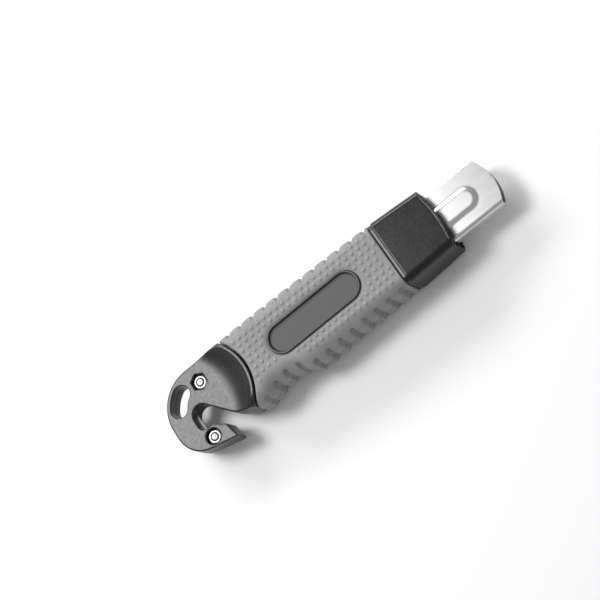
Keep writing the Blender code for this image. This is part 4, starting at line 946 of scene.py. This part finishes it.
# ---- Nuts and bolts of the hook -------------------------------------------------------------------
# Zinc-plated M3 bolts from the back, with hexagon nuts sunk in the front face and the bolts' threaded
# ends just proud of them.
NUT_FACE, NUT_FOOT = 3.5, 1.5
NUT_APOTHEM = 2.75
NUT_TURN = 30
THREAD_START, THREAD_END, THREAD_PITCH = -1.4, 3.3, 0.5
THREAD_ROOT, THREAD_CREST = 1.30, 1.38
zinc = Finish("bright_zinc", 0.28, 1.0)
plating = zinc.noise(700.0, 4.0, 0.6)
zinc.mottle(plating, 0.3, 0.75, (0.42, 0.42, 0.423), (0.35, 0.35, 0.355))
zinc.feed("Roughness", zinc.noise(1500.0, 3.0) * 0.10 + 0.38)
zinc.bump(plating, 0.000002)


def turned_rings(centre, profile, steps, start=0.0):
    """Rings about an upright axis, from a list of radius and height."""
    return [[(*polar(centre, radius, 360 * i / steps + start), z) for i in range(steps)]
            for radius, z in profile]


def hex_nut(centre):
    """Hexagon with its corners chamfered to a cone on the front, and a threaded bore."""
    steps = 72
    rings = []
    for cone, z in ((2.95, NUT_FOOT), (3.6, NUT_FOOT + 0.22), (3.6, NUT_FACE - 0.42),
                    (3.02, NUT_FACE - 0.2), (2.58, NUT_FACE - 0.02), (2.50, NUT_FACE)):
        ring = []
        for i in range(steps):
            turn = 360 * i / steps
            flat = math.radians(turn % 60 - 30)
            ring.append((*polar(centre, min(NUT_APOTHEM / math.cos(flat), cone), turn + NUT_TURN), z))
        rings.append(ring)
    bore = [(2.02, NUT_FACE), (1.92, NUT_FACE - 0.08), (1.66, NUT_FACE - 0.50), (1.5, NUT_FACE - 0.75),
            (1.5, NUT_FOOT + 0.3), (1.62, NUT_FOOT)]
    rings += turned_rings(centre, bore, steps, NUT_TURN)
    shape = Shape()
    shape.loft(rings + [rings[0]], caps=(False, False))
    return shape


def bolt(centre):
    """Threaded shank with a domed, centre-drilled end, and a round head on the rear face."""
    thread = []
    z = THREAD_START
    while z < THREAD_END:
        thread += [(THREAD_ROOT, z), (THREAD_CREST, z + THREAD_PITCH / 4),
                   (THREAD_ROOT, z + THREAD_PITCH / 2)]
        z += THREAD_PITCH
    end = [(1.34, 3.45), (1.30, 3.66), (1.18, 3.80), (1.02, 3.84), (0.86, 3.80), (0.70, 3.82),
           (0.45, 3.90), (0.10, 3.94)]
    head = [(1.15, -2.6), (1.15, -3.05), (1.2, -3.4), (1.45, -3.5), (2.3, -3.5), (2.6, -3.36),
            (2.75, -3.1), (2.75, -2.0), (2.6, -1.66), (2.3, -1.6), (1.3, -1.6)]
    shape = Shape()
    for profile in (thread + end, head):
        shape.loft(turned_rings(centre, profile, 48))
    return shape


for label, centre in (("upper", UPPER_BOLT), ("lower", LOWER_BOLT)):
    for kind, maker in (("nut", hex_nut), ("bolt", bolt)):
        name = f"{label}_hook_{kind}"
        fastener = show(name, maker(centre).mesh(name, 1, 30), zinc)
        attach(fastener, "handle")
        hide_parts(f"{label}_{kind}")


# ---- Thumb slider ---------------------------------------------------------------------------------
# Dark grey acetal button in the collar's trough. Five low ridges grip the thumb, and its hollow stem
# goes down through the slot on to the blade carrier's lug.
CAP_X, CAP_FOOT, CAP_TOP, CAP_HALF = (34.6, 45.2), 14.05, 15.42, 4.0
STEM_X, STEM_Y, STEM_HALF = (36.0, 44.0), (10.95, 14.3), 3.0
SOCKET_X, SOCKET_HALF, SOCKET_TOP = (37.35, 42.65), 1.6, 13.5
RIDGES, RIDGE_PITCH, RIDGE_START, RIDGE_REACH, RIDGE_RISE, RIDGE_HALF = 5, 1.45, 2.4, 2.6, 0.38, 0.52
CAP_ROUND, CAP_CHAMFER = 1.2, 0.25


def slider_top(x, z):
    """Height of the cap's ridged, round-edged top."""
    from_end = np.minimum(x - CAP_X[0], CAP_X[1] - x)
    from_side = CAP_HALF - np.abs(z)
    corner = np.hypot(np.maximum(CAP_ROUND - from_end, 0.0), np.maximum(CAP_ROUND - from_side, 0.0))
    top = CAP_TOP - 0.9 * np.clip(corner / CAP_ROUND, 0, 1.2) ** 2
    for i in range(RIDGES):
        past = np.maximum(np.abs(z) - RIDGE_REACH, 0.0)
        ridge = np.hypot(x - CAP_X[0] - RIDGE_START - RIDGE_PITCH * i, past)
        top = top + RIDGE_RISE * valley(ridge, RIDGE_HALF)
    return np.where(np.minimum(from_end, from_side) <= 0, np.minimum(top, CAP_FOOT + 0.45), top)


def stem_ring(ends, half, y, cut):
    """Rectangle with cut corners, lying across the stem at height y."""
    low, high = ends
    return [(low + cut, y, -half), (high - cut, y, -half), (high, y, -half + cut), (high, y, half - cut),
            (high - cut, y, half), (low + cut, y, half), (low, y, half - cut), (low, y, -half + cut)]


slider_shape = Shape()
cap_rings = []
z = np.linspace(-CAP_HALF, CAP_HALF, 61)
for x in np.linspace(*CAP_X, 107):
    brow = [(x, height, side) for height, side in zip(slider_top(np.full(61, x), z).tolist(), z.tolist())]
    cap_rings.append([(x, CAP_FOOT, -CAP_HALF + CAP_CHAMFER), (x, CAP_FOOT + 0.2, -CAP_HALF)] + brow
                     + [(x, CAP_FOOT + 0.2, CAP_HALF), (x, CAP_FOOT, CAP_HALF - CAP_CHAMFER)])
slider_shape.loft(cap_rings)
foot_x = (STEM_X[0] + 0.15, STEM_X[1] - 0.15)
slider_shape.loft([stem_ring(STEM_X, STEM_HALF, STEM_Y[1], 0.5),
                   stem_ring(STEM_X, STEM_HALF, STEM_Y[0] + 0.2, 0.5),
                   stem_ring(foot_x, STEM_HALF - 0.15, STEM_Y[0], 0.5),
                   stem_ring(SOCKET_X, SOCKET_HALF, STEM_Y[0], 0.2),
                   stem_ring(SOCKET_X, SOCKET_HALF, SOCKET_TOP, 0.2)], caps=(False, True))
acetal = Finish("slider_acetal", 0.46, Specular_IOR_Level=0.42)
flow = acetal.noise(300.0, 4.0)
worn_ridge = acetal.node("ShaderNodeSeparateXYZ", {}, [acetal.place()], "Y")
thumbed = acetal.ramp(worn_ridge, 0.01530, 0.01585) * 0.6
acetal.feed("Base Color", acetal.blend((thumbed + acetal.ramp(flow, 0.35, 0.75) * 0.3).clamped(),
                                       (0.045, 0.045, 0.047), (0.11, 0.11, 0.112)))
acetal.feed("Roughness", acetal.noise(900.0, 3.0) * 0.18 + 0.36)
acetal.bump(acetal.noise(4200.0, 3.0, 0.6), 0.000012)
slider_piece = show("thumb_slider_cap", slider_shape.mesh("thumb_slider_cap", 1, 35), acetal)
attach(slider_piece, "carriage")
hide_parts("thumb_slider")


# ---- Return spring --------------------------------------------------------------------------------
# Extension coil in 0.6 mm spring wire. One eye hooks round the pin fixed between the shells and the
# other round the post on the blade carrier, so it draws the blade back into the sheath.
EYES = (-30.0, -3.5)
EYE_RADIUS, COIL_RADIUS, WIRE_RADIUS = 1.60, 2.18, 0.29
COIL_TURNS, COIL_STEPS = 21, 20

wire_path = [(*polar((EYES[0], 0.0), EYE_RADIUS, turn), 0.0) for turn in range(290, 19, -15)]
wire_path.append((EYES[0] + EYE_RADIUS + 0.75, 0.05, 0.0))
coil_start, coil_end = EYES[0] + 4.0, EYES[1] - 4.0
coil_points = COIL_TURNS * COIL_STEPS
for i in range(coil_points + 1):
    turn = math.tau * i / COIL_STEPS
    swell = min(1.0, i / COIL_STEPS, (coil_points - i) / COIL_STEPS)
    radius = COIL_RADIUS * (0.12 + 0.88 * math.sin(swell * math.pi / 2))
    wire_path.append((coil_start + (coil_end - coil_start) * i / coil_points,
                      radius * math.cos(turn), radius * math.sin(turn)))
wire_path.append((EYES[1] - EYE_RADIUS - 0.75, 0.05, 0.0))
wire_path += [(*polar((EYES[1], 0.0), EYE_RADIUS, turn), 0.0) for turn in range(200, 471, 15)]


def wire_rings(path, radius, sides=10):
    """Rings square to a path, each turned as little as possible from the last."""
    path = [Vector(point) for point in path]
    across = Vector((0, 0, 1))
    rings = []
    for i, point in enumerate(path):
        ahead = (path[min(i + 1, len(path) - 1)] - path[max(i - 1, 0)]).normalized()
        across = (across - ahead * across.dot(ahead)).normalized()
        beside = ahead.cross(across)
        turns = [math.tau * k / sides for k in range(sides)]
        rings.append([tuple(point + radius * (math.cos(turn) * across + math.sin(turn) * beside))
                      for turn in turns])
    return rings


spring_shape = Shape()
spring_shape.loft(wire_rings(wire_path, WIRE_RADIUS))
spring_wire = Finish("spring_wire", 0.30, 1.0)
drawn = spring_wire.noise(1800.0, 3.0, 0.6, (1.0, 0.3, 0.3))
spring_wire.mottle(drawn, 0.3, 0.8, (0.58, 0.58, 0.585), (0.42, 0.42, 0.43))
spring_wire.feed("Roughness", drawn * 0.16 + 0.22)
spring_wire.bump(drawn, 0.000003)
spring_piece = show("return_coil", spring_shape.mesh("return_coil", 1, 60), spring_wire)
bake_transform(spring_piece)
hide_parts("return_spring")


# ---- Blades, carrier and small hardware -----------------------------------------------------------
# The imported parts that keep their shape: both ground carbon-steel blades, the moulded carrier, its
# sprung steel clip, and the plated screws and pin. Each gets its own finish.
def refinish(names, look):
    """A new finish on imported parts, which keep their shape."""
    for name in names:
        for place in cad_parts[name].material_slots:
            place.material = look.look


blade_steel = Finish("ground_blade_steel", 0.24, 1.0)
grinding = blade_steel.noise(5200.0, 3.0, 0.6, (1.0, 0.06, 1.0))
oil = blade_steel.noise(110.0, 4.0, 0.6)
blade_steel.mottle(oil, 0.4, 0.8, (0.74, 0.74, 0.745), (0.60, 0.605, 0.61))
blade_steel.feed("Roughness", grinding * 0.18 + oil * 0.08 + 0.14)
blade_steel.bump(grinding, 0.000002)
refinish(("blade", "strap_blade"), blade_steel)

carrier_acetal = Finish("carrier_acetal", 0.48, Specular_IOR_Level=0.42)
swirl = carrier_acetal.noise(220.0, 4.0)
carrier_acetal.mottle(swirl, 0.3, 0.8, (0.050, 0.050, 0.052), (0.075, 0.075, 0.077))
carrier_acetal.feed("Roughness", carrier_acetal.noise(800.0, 3.0) * 0.16 + 0.40)
carrier_acetal.bump(carrier_acetal.noise(3600.0, 3.0, 0.6), 0.000012)
refinish(("blade_carrier",), carrier_acetal)

blued = Finish("clip_spring_steel", 0.30, 1.0)
tempered = blued.noise(420.0, 4.0, 0.6)
blued.mottle(tempered, 0.3, 0.8, (0.52, 0.52, 0.53), (0.38, 0.385, 0.40))
blued.feed("Roughness", blued.noise(2600.0, 3.0) * 0.18 + 0.22)
blued.bump(blued.noise(2600.0, 3.0), 0.000003)
refinish(("blade_clip", "spring_pin"), blued)
refinish(("clip_screw", "rear_screw", "front_screw"), zinc)
